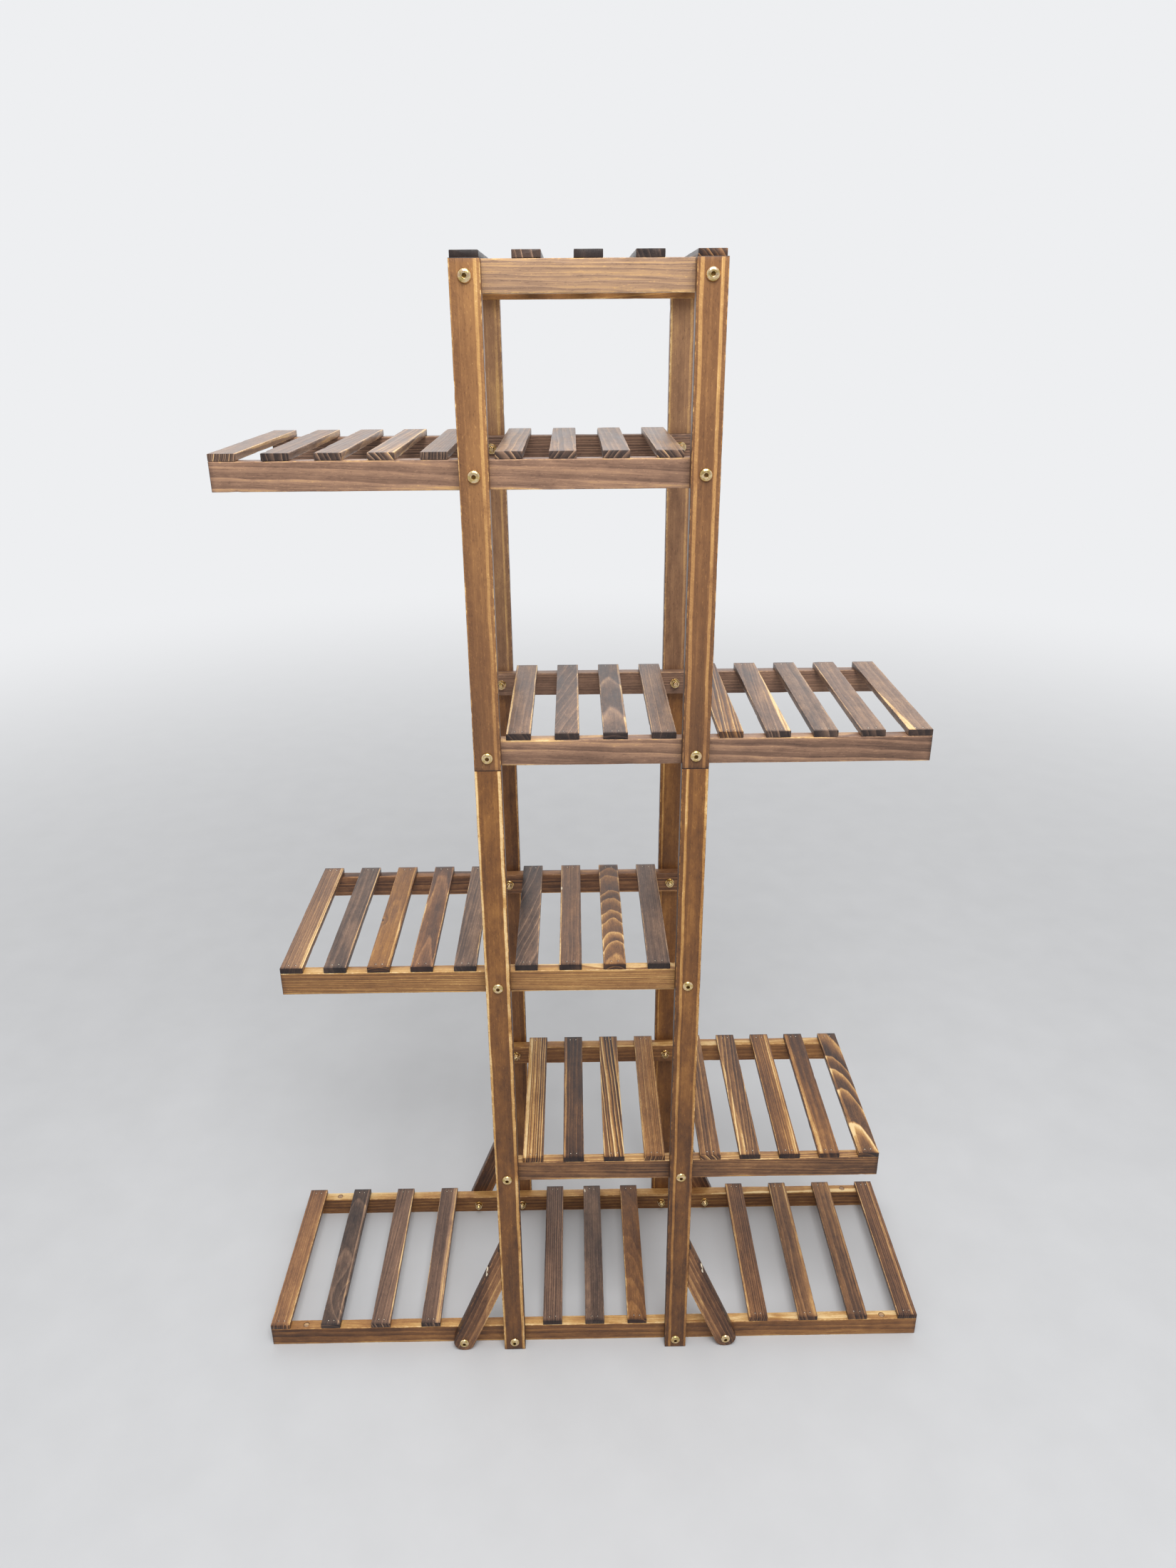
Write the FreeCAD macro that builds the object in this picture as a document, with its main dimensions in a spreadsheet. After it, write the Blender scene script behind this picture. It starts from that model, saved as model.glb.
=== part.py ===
import FreeCAD, Part
import os
import Sketcher

# Plant stand of bolted and nailed softwood. Millimetres, X across the stand, Y from front to back, Z up.
# The origin is on the floor, midway between the four posts.

DOCUMENT_NAME = "plant_stand"

# Sizes that are set by themselves
DRIVING_SIZES = (
    ("post_width", 30.0, "width of a post, seen from the front"),
    ("post_thick", 15.0, "thickness of a post and of the brace in its plane"),
    ("post_pitch", 230.0, "between the centre lines of the two posts of a frame"),
    ("frame_depth", 292.0, "over the outer faces of the front and back posts"),
    ("tier_rise", 300.0, "from one tier to the next"),
    ("top_rise", 180.0, "from the fifth tier to the short top tier"),
    ("rail_height", 30.0, "height of a rail"),
    ("rail_thick", 15.0, "thickness of a rail"),
    ("foot_overhang", 335.0, "bottom rail, from a post's outer side to its end"),
    ("wing_overhang", 250.0, "shelf rail, from a post's outer side to its free end"),
    ("slat_width", 27.5, "width of a slat"),
    ("slat_thick", 7.5, "thickness of a slat"),
    ("bay_margin", 5.5, "from a post's inner side to the first slat of a shelf's centre"),
    ("wing_margin", 11.5, "from a post's outer side to the first slat of a shelf's wing"),
    ("foot_bay_margin", 25.5, "from a post's inner side to the first centre slat at the bottom"),
    ("foot_wing_margin", 92.0, "from a post's outer side to the first wing slat at the bottom"),
    ("arris", 0.8, "eased long edge of every piece of wood"),
    ("brace_width", 30.0, "width of a brace"),
    ("brace_spread", 57.0, "from a post's outer side to the bolt at the brace's foot"),
    ("brace_climb", 140.0, "from the brace's foot bolt up to where its centre line meets the post"),
    ("bolt_diam", 6.0, "shank of a flange bolt"),
    ("bolt_stickout", 3.8, "bolt end past its nut"),
    ("head_diam", 13.4, "flange of a bolt head"),
    ("head_height", 3.3, "height of a bolt head"),
    ("head_rim", 0.9, "straight rim below the head's crown"),
    ("socket_flats", 4.0, "hexagon socket, across flats"),
    ("socket_depth", 2.2, "depth of the hexagon socket"),
    ("bolt_gap", 0.25, "play round a bolt in the wood"),
    ("washer_diam", 12.4, "outer diameter of a washer"),
    ("washer_thick", 1.2, "thickness of a washer"),
    ("washer_gap", 0.2, "play round a bolt in its washer"),
    ("nut_flats", 10.0, "hexagon nut, across flats"),
    ("nut_thick", 5.0, "thickness of a nut"),
    ("nut_gap", 0.05, "thread clearance between bolt and nut"),
    ("nut_bevel", 0.5, "bevel round a nut's outer face"),
    ("dowel_diam", 6.0, "pin that joins a lower and an upper post"),
    ("dowel_half", 15.0, "length of a dowel in each post"),
    ("dowel_pitch", 18.0, "between the two dowels of a post joint, either side of the bolt"),
    ("dowel_gap", 0.1, "glue gap round a dowel"),
    ("dowel_end_gap", 1.0, "empty bore past a dowel's end"),
    ("screw_diam", 4.0, "shank of the wood screw through a brace's top"),
    ("screw_head_diam", 8.0, "countersunk head of that screw"),
    ("screw_head_height", 2.4, "height of the countersunk head"),
    ("screw_grip", 15.0, "wood of the brace from the screw head's top to the post"),
    ("screw_sink", 3.2, "screw head below the brace's edge"),
    ("screw_bite", 18.0, "screw length in the post"),
    ("screw_point", 1.4, "bevelled point of the screw"),
    ("screw_gap", 0.1, "play round the screw and its head"),
    ("screw_end_gap", 1.0, "empty bore past the screw's end"),
)

# Counts of tiers, from the bottom, of slats, and of the flats that stand for small round pieces and holes
LOWER_TIERS = 3
UPPER_TIERS = 3
SHELF_WINGS = {2: "right", 3: "left", 4: "right", 5: "left"}
FOOT_WING_SLATS = 4
FOOT_BAY_SLATS = 3
SHELF_WING_SLATS = 5
SHELF_BAY_SLATS = 4
TOP_SLATS = 5
RIM_FLATS = 12
SHANK_FLATS = 8
NUT_CORNERS = 6

BOTTOM_TIER = 1
TOP_TIER = LOWER_TIERS + UPPER_TIERS
FIRST_UPPER_TIER = LOWER_TIERS + 1

# Sizes and places that follow from the ones above
DERIVED_SIZES = (
    ("half_frame", "post_pitch / 2 + post_width / 2", "middle to a post's outer side"),
    ("half_bay", "post_pitch / 2 - post_width / 2", "middle to a post's inner side"),
    ("foot_reach", "half_frame + foot_overhang", "middle to the end of a bottom rail"),
    ("wing_reach", "half_frame + wing_overhang", "middle to the free end of a shelf rail"),
    ("post_offset", "frame_depth / 2 - post_thick / 2", "middle to the middle of a post's thickness"),
    ("rail_offset", "post_offset - post_thick / 2 - rail_thick / 2", "middle to the middle of a rail"),
    ("slat_length", "frame_depth - 2 * post_thick", "slats end flush with the rails' outer faces"),
    ("rail_mid", "rail_height / 2", "bolts pass at half the height of a rail"),
    ("splice_height", f"{LOWER_TIERS} * tier_rise", "joint of the posts, under the fourth rail"),
    ("top_rail_height", f"{TOP_TIER - 2} * tier_rise + top_rise", "underside of the top rail"),
    ("upper_post_length", "top_rail_height + rail_height - splice_height", "ends flush with the top rail"),
    ("brace_lean", "atan(brace_spread / brace_climb)", "angle of a brace from the vertical"),
    ("brace_foot", "half_frame + brace_spread", "middle to the bolt at a brace's foot"),
    ("brace_tip", "brace_climb + brace_width / 2 / sin(brace_lean)", "foot bolt up to the brace's tip"),
    ("screw_climb", "brace_tip - (screw_grip + screw_sink) / tan(brace_lean)", "foot bolt up to the screw"),
    ("screw_length", "screw_grip + screw_bite", "wood screw from head to point"),
    ("wood_bore", "bolt_diam + 2 * bolt_gap", "bolt hole in the wood"),
    ("grip", "post_thick + rail_thick", "wood that a bolt holds together"),
    ("bolt_length", "grip + washer_thick + nut_thick + bolt_stickout", "bolt under its head"),
    ("nut_seat", "grip + washer_thick", "bolt head's seat to the nut"),
    ("dowel_bore", "dowel_diam + 2 * dowel_gap", "dowel hole in a post's end"),
    ("dowel_depth", "dowel_half + dowel_end_gap", "depth of that hole"),
    ("screw_bore", "screw_diam + 2 * screw_gap", "hole round the screw's shank"),
    ("screw_seat_diam", "screw_head_diam + 2 * screw_gap", "hole round the screw's head"),
)

SIDES = {"left": -1, "right": 1}
FACES = {"front": -1, "back": 1}
FULL_TURN = 360
HALF_TURN = 180
HALF_FLAT = HALF_TURN / SHANK_FLATS
SINK_NARROWING = f"(Sizes.screw_head_diam - Sizes.screw_diam) / 2 * cos({HALF_FLAT} deg)"
SINK_TAPER = f"atan({SINK_NARROWING} / Sizes.screw_head_height)"
UPRIGHT = FreeCAD.Vector(0, 0, 1)
ORIGIN_POINT = (-1, 1)
START, END, CENTRE = range(1, 4)
TOUCH = FreeCAD.Base.Precision.confusion() * 100


def write_sheet(doc):
    """Put every size in the sheet, one row each: what it is, its value, and its alias."""
    sheet = doc.addObject("Spreadsheet::Sheet", "Sizes")
    rows = [(alias, repr(value), note) for alias, value, note in DRIVING_SIZES]
    rows += [(alias, "=" + formula, note) for alias, formula, note in DERIVED_SIZES]
    for number, (alias, content, note) in enumerate(rows, start=1):
        sheet.set(f"A{number}", note)
        sheet.set(f"B{number}", content)
        sheet.setAlias(f"B{number}", alias)
    doc.recompute()
    return sheet


def place(piece, across, depth, height, turned=False):
    """Stand a piece where three formulas say, turned half round about the vertical where asked."""
    angle = HALF_TURN if turned else 0
    piece.Placement = FreeCAD.Placement(FreeCAD.Vector(), FreeCAD.Rotation(UPRIGHT, angle))
    for axis, formula in zip("xyz", (across, depth, height)):
        piece.setExpression(f"Placement.Base.{axis}", formula)


def tier_height(tier):
    """Formula for the underside of a tier's rails."""
    if tier == TOP_TIER:
        return "Sizes.top_rail_height"
    return f"{tier - 1} * Sizes.tier_rise"


# Sketches, each fully held by formulas


def sketch_on(body, role, name):
    """Start a sketch on one of the body's own origin planes."""
    sketch = body.newObject("Sketcher::SketchObject", name)
    plane = next(item for item in body.Origin.OriginFeatures if item.Role == role)
    sketch.AttachmentSupport = (plane, [""])
    sketch.MapMode = "FlatFace"
    return sketch


def lift_sketch(sketch, formula):
    """Move a sketch off its plane, along the plane's normal."""
    sketch.setExpression("AttachmentOffset.Base.z", formula)


def now(sketch, formula):
    """Value that a formula has now, to draw the first shape where its constraints will hold it."""
    result = sketch.evalExpression(formula)
    return float(getattr(result, "Value", result))


def hold(sketch, dimensions):
    """Add dimensions, each a kind, what it measures and a formula, and bind them to their formulas."""
    first = sketch.ConstraintCount
    sketch.addConstraint([
        Sketcher.Constraint(kind, *measured, now(sketch, formula)) for kind, measured, formula in dimensions
    ])
    for number, dimension in enumerate(dimensions, start=first):
        sketch.setExpression(f"Constraints[{number}]", dimension[-1])


def outline(sketch, corners):
    """Close a loop of straight edges through corners, each an across formula and an up formula."""
    points = [FreeCAD.Vector(now(sketch, across), now(sketch, up), 0) for across, up in corners]
    first = sketch.GeometryCount
    last = first + len(points) - 1
    sketch.addGeometry([Part.LineSegment(*ends) for ends in zip(points, points[1:] + points[:1])], False)
    joins = []
    dimensions = []
    for edge, (across, up) in enumerate(corners, start=first):
        before = last if edge == first else edge - 1
        joins.append(Sketcher.Constraint("Coincident", before, END, edge, START))
        dimensions.append(("DistanceX", (*ORIGIN_POINT, edge, START), across))
        dimensions.append(("DistanceY", (*ORIGIN_POINT, edge, START), up))
    sketch.addConstraint(joins)
    hold(sketch, dimensions)


def regular(sketch, across, up, diameter, corners):
    """Draw a regular outline about a point, its size over the corners, with a flat square to each axis."""
    turns = [f"{(number + 0.5) * FULL_TURN / corners} deg" for number in range(corners)]
    reach = f"({diameter}) / 2"
    corner_across = [f"{across} + {reach} * cos({turn})" for turn in turns]
    corner_up = [f"{up} + {reach} * sin({turn})" for turn in turns]
    outline(sketch, list(zip(corner_across, corner_up)))


def over_corners(flats):
    """Formula for a hexagon's size over its corners, from its size over the flats."""
    return f"{flats} / cos({HALF_TURN / NUT_CORNERS} deg)"


def eased_section(sketch, width, height):
    """Draw a rectangle about the origin with its four corners eased by the arris."""
    side = f"{width} / 2"
    inner_side = f"({width} / 2 - Sizes.arris)"
    top = f"{height} / 2"
    inner_top = f"({height} / 2 - Sizes.arris)"
    quarter = ((side, inner_top), (inner_side, top))
    right = [(across, f"-{up}") for across, up in quarter[::-1]] + list(quarter)
    left = [(f"-{across}", up) for across, up in quarter[::-1]]
    left += [(f"-{across}", f"-{up}") for across, up in quarter]
    outline(sketch, right + left)


# Features of a body


def new_body(doc, label):
    """Start a body whose label names its file."""
    body = doc.addObject("PartDesign::Body", label)
    body.Label = label
    return body


def pad(body, sketch, length, midplane=False):
    """Give a sketch its length, both ways from its plane where asked."""
    feature = body.newObject("PartDesign::Pad", "Pad")
    feature.Profile = sketch
    feature.setExpression("Length", length)
    feature.SideType = "Symmetric" if midplane else "One side"
    return feature


def pocket_through(body, sketch, both_ways=True):
    """Cut a sketch through the whole body, both ways from its plane or only against the plane's normal."""
    feature = body.newObject("PartDesign::Pocket", "Through")
    feature.Profile = sketch
    feature.Type = "ThroughAll"
    feature.SideType = "Symmetric" if both_ways else "One side"


def pocket_blind(body, sketch, depth, along_normal=False):
    """Cut a sketch to a depth, against its plane's normal unless asked otherwise."""
    feature = body.newObject("PartDesign::Pocket", "Blind")
    feature.Profile = sketch
    feature.setExpression("Length", depth)
    feature.Reversed = along_normal
    return feature


def edges_in_plane(shape, direction, place):
    """Names of a shape's edges that lie square to X, Y or Z at a place."""
    names = []
    for number, edge in enumerate(shape.Edges, start=1):
        low = getattr(edge.BoundBox, direction + "Min")
        high = getattr(edge.BoundBox, direction + "Max")
        if abs(low - place) < TOUCH and abs(high - place) < TOUCH:
            names.append(f"Edge{number}")
    return names


def bevel(body, feature, names, size):
    """Bevel the named edges of a feature."""
    cut = body.newObject("PartDesign::Chamfer", "Bevel")
    cut.Base = (feature, names)
    cut.setExpression("Size", size)


def bolt_row(body, heights):
    """Bore the bolt holes of a post, front to back, at the given heights."""
    sketch = sketch_on(body, "XZ_Plane", "BoltHoles")
    for height in heights:
        regular(sketch, "0", height, "Sizes.wood_bore", SHANK_FLATS)
    pocket_through(body, sketch)


# Posts


def splice_bores(body, height, along_normal):
    """Bore the two dowel holes in the end of a post."""
    sketch = sketch_on(body, "XY_Plane", "DowelHoles")
    lift_sketch(sketch, height)
    for sign in SIDES.values():
        regular(sketch, f"{sign} * Sizes.dowel_pitch / 2", "0", "Sizes.dowel_bore", SHANK_FLATS)
    pocket_blind(body, sketch, "Sizes.dowel_depth", along_normal)


def post_blank(doc, label, length):
    """Start a post about its own centre line, with eased edges."""
    body = new_body(doc, label)
    section = sketch_on(body, "XY_Plane", "Section")
    eased_section(section, "Sizes.post_width", "Sizes.post_thick")
    pad(body, section, length)
    return body


def lower_post(doc, label):
    """Post from the floor to the joint: bolt holes, dowel holes on top, a screw hole on the brace's side."""
    body = post_blank(doc, label, "Sizes.splice_height")
    tiers = range(BOTTOM_TIER, FIRST_UPPER_TIER)
    bolt_row(body, [f"{tier_height(tier)} + Sizes.rail_mid" for tier in tiers])
    splice_bores(body, "Sizes.splice_height", along_normal=False)
    pilot = sketch_on(body, "YZ_Plane", "ScrewHole")
    lift_sketch(pilot, "Sizes.post_width / 2")
    regular(pilot, "0", "Sizes.rail_mid + Sizes.screw_climb", "Sizes.screw_bore", SHANK_FLATS)
    pocket_blind(body, pilot, "Sizes.screw_bite + Sizes.screw_end_gap")
    return body


def upper_post(doc, label):
    """Post from the joint to the top rail's upper edge."""
    body = post_blank(doc, label, "Sizes.upper_post_length")
    tiers = range(FIRST_UPPER_TIER, TOP_TIER + 1)
    bolt_row(body, [f"{tier_height(tier)} + Sizes.rail_mid - Sizes.splice_height" for tier in tiers])
    splice_bores(body, "0", along_normal=True)
    return body


def build_posts(doc):
    """Stand the four lower and the four upper posts."""
    posts = []
    for face, face_sign in FACES.items():
        for side, side_sign in SIDES.items():
            across = f"{side_sign} * Sizes.post_pitch / 2"
            depth = f"{face_sign} * Sizes.post_offset"
            turned = side == "left"
            low = lower_post(doc, f"{face}_{side}_lower_post")
            place(low, across, depth, "0", turned)
            high = upper_post(doc, f"{face}_{side}_upper_post")
            place(high, across, depth, "Sizes.splice_height", turned)
            posts += [low, high]
    return posts


# Rails


def rail(doc, label, left_reach, right_reach, bolt_places):
    """Rail along X with eased edges, bored at the given distances from the middle."""
    body = new_body(doc, label)
    section = sketch_on(body, "YZ_Plane", "Section")
    eased_section(section, "Sizes.rail_thick", "Sizes.rail_height")
    lift_sketch(section, f"-{left_reach}")
    pad(body, section, f"{left_reach} + {right_reach}")
    holes = sketch_on(body, "XZ_Plane", "BoltHoles")
    for place_formula in bolt_places:
        regular(holes, place_formula, "0", "Sizes.wood_bore", SHANK_FLATS)
    pocket_through(body, holes)
    return body


def rail_ends(tier):
    """How far a tier's rails reach from the middle, to the plain side and to the wing's side."""
    if tier == BOTTOM_TIER:
        return "Sizes.foot_reach", "Sizes.foot_reach"
    if tier == TOP_TIER:
        return "Sizes.half_frame", "Sizes.half_frame"
    return "Sizes.half_frame", "Sizes.wing_reach"


def build_rails(doc):
    """Lay a front and a back rail at every tier, the wings to alternate sides."""
    rails = []
    for tier in range(BOTTOM_TIER, TOP_TIER + 1):
        places = [f"{sign} * Sizes.post_pitch / 2" for sign in SIDES.values()]
        if tier == BOTTOM_TIER:
            places += [f"{sign} * Sizes.brace_foot" for sign in SIDES.values()]
        for face, face_sign in FACES.items():
            piece = rail(doc, f"tier_{tier}_{face}_rail", *rail_ends(tier), places)
            turned = SHELF_WINGS.get(tier) == "left"
            height = f"{tier_height(tier)} + Sizes.rail_mid"
            place(piece, "0", f"{face_sign} * Sizes.rail_offset", height, turned)
            rails.append(piece)
    return rails


# Braces


def brace_outline(sketch):
    """Draw a brace about its foot bolt: a round foot, two straight sides, and an upright cut at the post."""
    spread = now(sketch, "Sizes.brace_spread")
    climb = now(sketch, "Sizes.brace_climb")
    radius = now(sketch, "Sizes.brace_width / 2")
    along = FreeCAD.Vector(-spread, climb, 0).normalize()
    outward = FreeCAD.Vector(along.y, -along.x, 0)
    middle = FreeCAD.Vector(-spread, climb, 0)
    rise = FreeCAD.Vector(0, radius / outward.y, 0)
    centre_line = sketch.addGeometry(Part.LineSegment(FreeCAD.Vector(), middle), True)
    outer = sketch.addGeometry(Part.LineSegment(outward * radius, middle + rise), False)
    cut = sketch.addGeometry(Part.LineSegment(middle + rise, middle - rise), False)
    inner = sketch.addGeometry(Part.LineSegment(middle - rise, outward * -radius), False)
    foot = sketch.addGeometry(Part.Arc(outward * -radius, along * -radius, outward * radius), False)
    sketch.addConstraint([
        Sketcher.Constraint("Coincident", centre_line, START, *ORIGIN_POINT),
        Sketcher.Constraint("Coincident", foot, CENTRE, *ORIGIN_POINT),
        Sketcher.Constraint("Tangent", foot, END, outer, START),
        Sketcher.Constraint("Tangent", inner, END, foot, START),
        Sketcher.Constraint("Coincident", outer, END, cut, START),
        Sketcher.Constraint("Coincident", cut, END, inner, START),
        Sketcher.Constraint("Parallel", outer, centre_line),
        Sketcher.Constraint("Parallel", inner, centre_line),
        Sketcher.Constraint("Vertical", cut),
        Sketcher.Constraint("PointOnObject", centre_line, END, cut),
    ])
    hold(sketch, [
        ("DistanceX", (centre_line, END, *ORIGIN_POINT), "Sizes.brace_spread"),
        ("DistanceY", (*ORIGIN_POINT, centre_line, END), "Sizes.brace_climb"),
        ("Radius", (foot,), "Sizes.brace_width / 2"),
    ])


def ease_brace(doc, body, blank):
    """Ease the edges along a brace's two sides and round its foot, and leave the cut end sharp."""
    doc.recompute()
    names = []
    for place_formula in ("Sizes.post_thick / 2", "-Sizes.post_thick / 2"):
        names += edges_in_plane(blank.Shape, "Y", now(body, place_formula))
    cut_end = edges_in_plane(blank.Shape, "X", now(body, "-Sizes.brace_spread"))
    bevel(body, blank, [name for name in names if name not in cut_end], "Sizes.arris")


def brace(doc, label):
    """Brace that leans out from the post to its foot on the floor, bored for its bolt and its screw."""
    body = new_body(doc, label)
    side_view = sketch_on(body, "XZ_Plane", "Outline")
    brace_outline(side_view)
    ease_brace(doc, body, pad(body, side_view, "Sizes.post_thick", midplane=True))
    foot_hole = sketch_on(body, "XZ_Plane", "FootHole")
    regular(foot_hole, "0", "0", "Sizes.wood_bore", SHANK_FLATS)
    pocket_through(body, foot_hole)
    shank_hole = sketch_on(body, "YZ_Plane", "ScrewHole")
    regular(shank_hole, "0", "Sizes.screw_climb", "Sizes.screw_bore", SHANK_FLATS)
    pocket_through(body, shank_hole)
    seat = sketch_on(body, "YZ_Plane", "ScrewSeat")
    lift_sketch(seat, "-Sizes.brace_spread + Sizes.screw_grip")
    regular(seat, "0", "Sizes.screw_climb", "Sizes.screw_seat_diam", SHANK_FLATS)
    pocket_blind(body, seat, "Sizes.brace_width + Sizes.screw_sink", along_normal=True)
    doc.recompute()
    sink = pocket_blind(body, seat, "Sizes.screw_head_height")
    sink.setExpression("TaperAngle", f"-{SINK_TAPER}")
    return body


def build_braces(doc):
    """Set a brace on the outer side of each lower post, front and back."""
    braces = []
    for face, face_sign in FACES.items():
        for side, side_sign in SIDES.items():
            piece = brace(doc, f"{face}_{side}_brace")
            across = f"{side_sign} * Sizes.brace_foot"
            place(piece, across, f"{face_sign} * Sizes.post_offset", "Sizes.rail_mid", side == "left")
            braces.append(piece)
    return braces


# Groups of like pieces


def group(doc, label, master, spots):
    """Set copies of one master piece at spots, as one group of separate solids."""
    copies = []
    for spot in spots:
        copy = doc.addObject("App::Link", f"{label}_piece")
        copy.LinkedObject = master
        place(copy, *spot)
        copies.append(copy)
    cluster = doc.addObject("Part::Compound", label)
    cluster.Label = label
    cluster.Links = copies
    return cluster


def spread_evenly(first, last, count):
    """Formulas for evenly spaced places from the first to the last."""
    return [f"{first} + ({last} - {first}) * {number} / {count - 1}" for number in range(count)]


def slat_master(doc):
    """One slat along Y, lying on the plane of its underside."""
    body = new_body(doc, "slat")
    section = sketch_on(body, "XZ_Plane", "Section")
    eased_section(section, "Sizes.slat_width", "Sizes.slat_thick")
    pad(body, section, "Sizes.slat_length", midplane=True)
    return body


def slat_bays(tier):
    """A tier's groups of slats: name, sign of its side, first and last slat from the middle, and count."""
    half_slat = "Sizes.slat_width / 2"
    if tier == TOP_TIER:
        edge = f"(Sizes.half_frame - {half_slat})"
        return [("", 1, f"-{edge}", edge, TOP_SLATS)]
    if tier == BOTTOM_TIER:
        edge = f"(Sizes.half_bay - Sizes.foot_bay_margin - {half_slat})"
        first = f"(Sizes.half_frame + Sizes.foot_wing_margin + {half_slat})"
        last = f"(Sizes.foot_reach - {half_slat})"
        bays = [("_centre", 1, f"-{edge}", edge, FOOT_BAY_SLATS)]
        bays += [(f"_{side}", sign, first, last, FOOT_WING_SLATS) for side, sign in SIDES.items()]
        return bays
    edge = f"(Sizes.half_bay - Sizes.bay_margin - {half_slat})"
    first = f"(Sizes.half_frame + Sizes.wing_margin + {half_slat})"
    last = f"(Sizes.wing_reach - {half_slat})"
    wing_sign = SIDES[SHELF_WINGS[tier]]
    return [
        ("_centre", 1, f"-{edge}", edge, SHELF_BAY_SLATS),
        ("_wing", wing_sign, first, last, SHELF_WING_SLATS),
    ]


def build_decks(doc):
    """Lay the slats of every tier across its two rails."""
    master = slat_master(doc)
    decks = []
    for tier in range(BOTTOM_TIER, TOP_TIER + 1):
        height = f"{tier_height(tier)} + Sizes.rail_height + Sizes.slat_thick / 2"
        for bay, sign, first, last, count in slat_bays(tier):
            places = spread_evenly(first, last, count)
            spots = [(f"{sign} * ({across})", "0", height) for across in places]
            decks.append(group(doc, f"tier_{tier}{bay}_slats", master, spots))
    return decks


# Fasteners


def flange_bolt(doc):
    """Bolt along Y from its seat: a crowned flange head with a hexagon socket, and a plain shank."""
    body = new_body(doc, "flange_bolt")
    rim = sketch_on(body, "XZ_Plane", "Rim")
    regular(rim, "0", "0", "Sizes.head_diam", RIM_FLATS)
    head = pad(body, rim, "Sizes.head_height")
    doc.recompute()
    outer = edges_in_plane(head.Shape, "Y", now(body, "-Sizes.head_height"))
    bevel(body, head, outer, "Sizes.head_height - Sizes.head_rim")
    shank = sketch_on(body, "XZ_Plane", "Shank")
    regular(shank, "0", "0", "Sizes.bolt_diam", SHANK_FLATS)
    pad(body, shank, "Sizes.bolt_length").Reversed = True
    socket = sketch_on(body, "XZ_Plane", "Socket")
    lift_sketch(socket, "Sizes.head_height")
    regular(socket, "0", "0", over_corners("Sizes.socket_flats"), NUT_CORNERS)
    pocket_blind(body, socket, "Sizes.socket_depth")
    return body


def washer(doc):
    """Plain washer along Y, from the rail towards the nut."""
    body = new_body(doc, "washer")
    ring = sketch_on(body, "XZ_Plane", "Ring")
    regular(ring, "0", "0", "Sizes.washer_diam", RIM_FLATS)
    regular(ring, "0", "0", "Sizes.bolt_diam + 2 * Sizes.washer_gap", SHANK_FLATS)
    pad(body, ring, "Sizes.washer_thick").Reversed = True
    return body


def nut(doc):
    """Hexagon nut along Y, bevelled round its outer face."""
    body = new_body(doc, "hexagon_nut")
    flats = sketch_on(body, "XZ_Plane", "Flats")
    regular(flats, "0", "0", over_corners("Sizes.nut_flats"), NUT_CORNERS)
    blank = pad(body, flats, "Sizes.nut_thick")
    blank.Reversed = True
    doc.recompute()
    bevel(body, blank, edges_in_plane(blank.Shape, "Y", now(body, "Sizes.nut_thick")), "Sizes.nut_bevel")
    bore = sketch_on(body, "XZ_Plane", "Bore")
    regular(bore, "0", "0", "Sizes.bolt_diam + 2 * Sizes.nut_gap", SHANK_FLATS)
    pocket_through(body, bore, both_ways=False)
    return body


def dowel(doc):
    """Wooden pin along Z about its middle."""
    body = new_body(doc, "dowel")
    section = sketch_on(body, "XY_Plane", "Section")
    regular(section, "0", "0", "Sizes.dowel_diam", SHANK_FLATS)
    pad(body, section, "2 * Sizes.dowel_half", midplane=True)
    return body


def wood_screw(doc):
    """Countersunk screw along X, its head's top at the origin and its point towards the post."""
    body = new_body(doc, "wood_screw")
    shank = sketch_on(body, "YZ_Plane", "Shank")
    regular(shank, "0", "0", "Sizes.screw_diam", SHANK_FLATS)
    stem = pad(body, shank, "Sizes.screw_length")
    stem.Reversed = True
    doc.recompute()
    bevel(body, stem, edges_in_plane(stem.Shape, "X", now(body, "-Sizes.screw_length")), "Sizes.screw_point")
    head = sketch_on(body, "YZ_Plane", "Head")
    regular(head, "0", "0", "Sizes.screw_head_diam", SHANK_FLATS)
    cone = pad(body, head, "Sizes.screw_head_height")
    cone.Reversed = True
    cone.setExpression("TaperAngle", f"-{SINK_TAPER}")
    return body


def bolt_stations():
    """Across and height formulas of a frame's bolts: two at each tier and one at each brace's foot."""
    stations = []
    for tier in range(BOTTOM_TIER, TOP_TIER + 1):
        height = f"{tier_height(tier)} + Sizes.rail_mid"
        stations += [(f"{sign} * Sizes.post_pitch / 2", height) for sign in SIDES.values()]
    stations += [(f"{sign} * Sizes.brace_foot", "Sizes.rail_mid") for sign in SIDES.values()]
    return stations


def along_bolts(seat):
    """Spots on every bolt's axis, a given way in from the frame's outer face, pointing inwards."""
    spots = []
    for face, sign in FACES.items():
        depth = f"{sign} * (Sizes.frame_depth / 2 - {seat})"
        spots += [(across, depth, height, face == "back") for across, height in bolt_stations()]
    return spots


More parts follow.
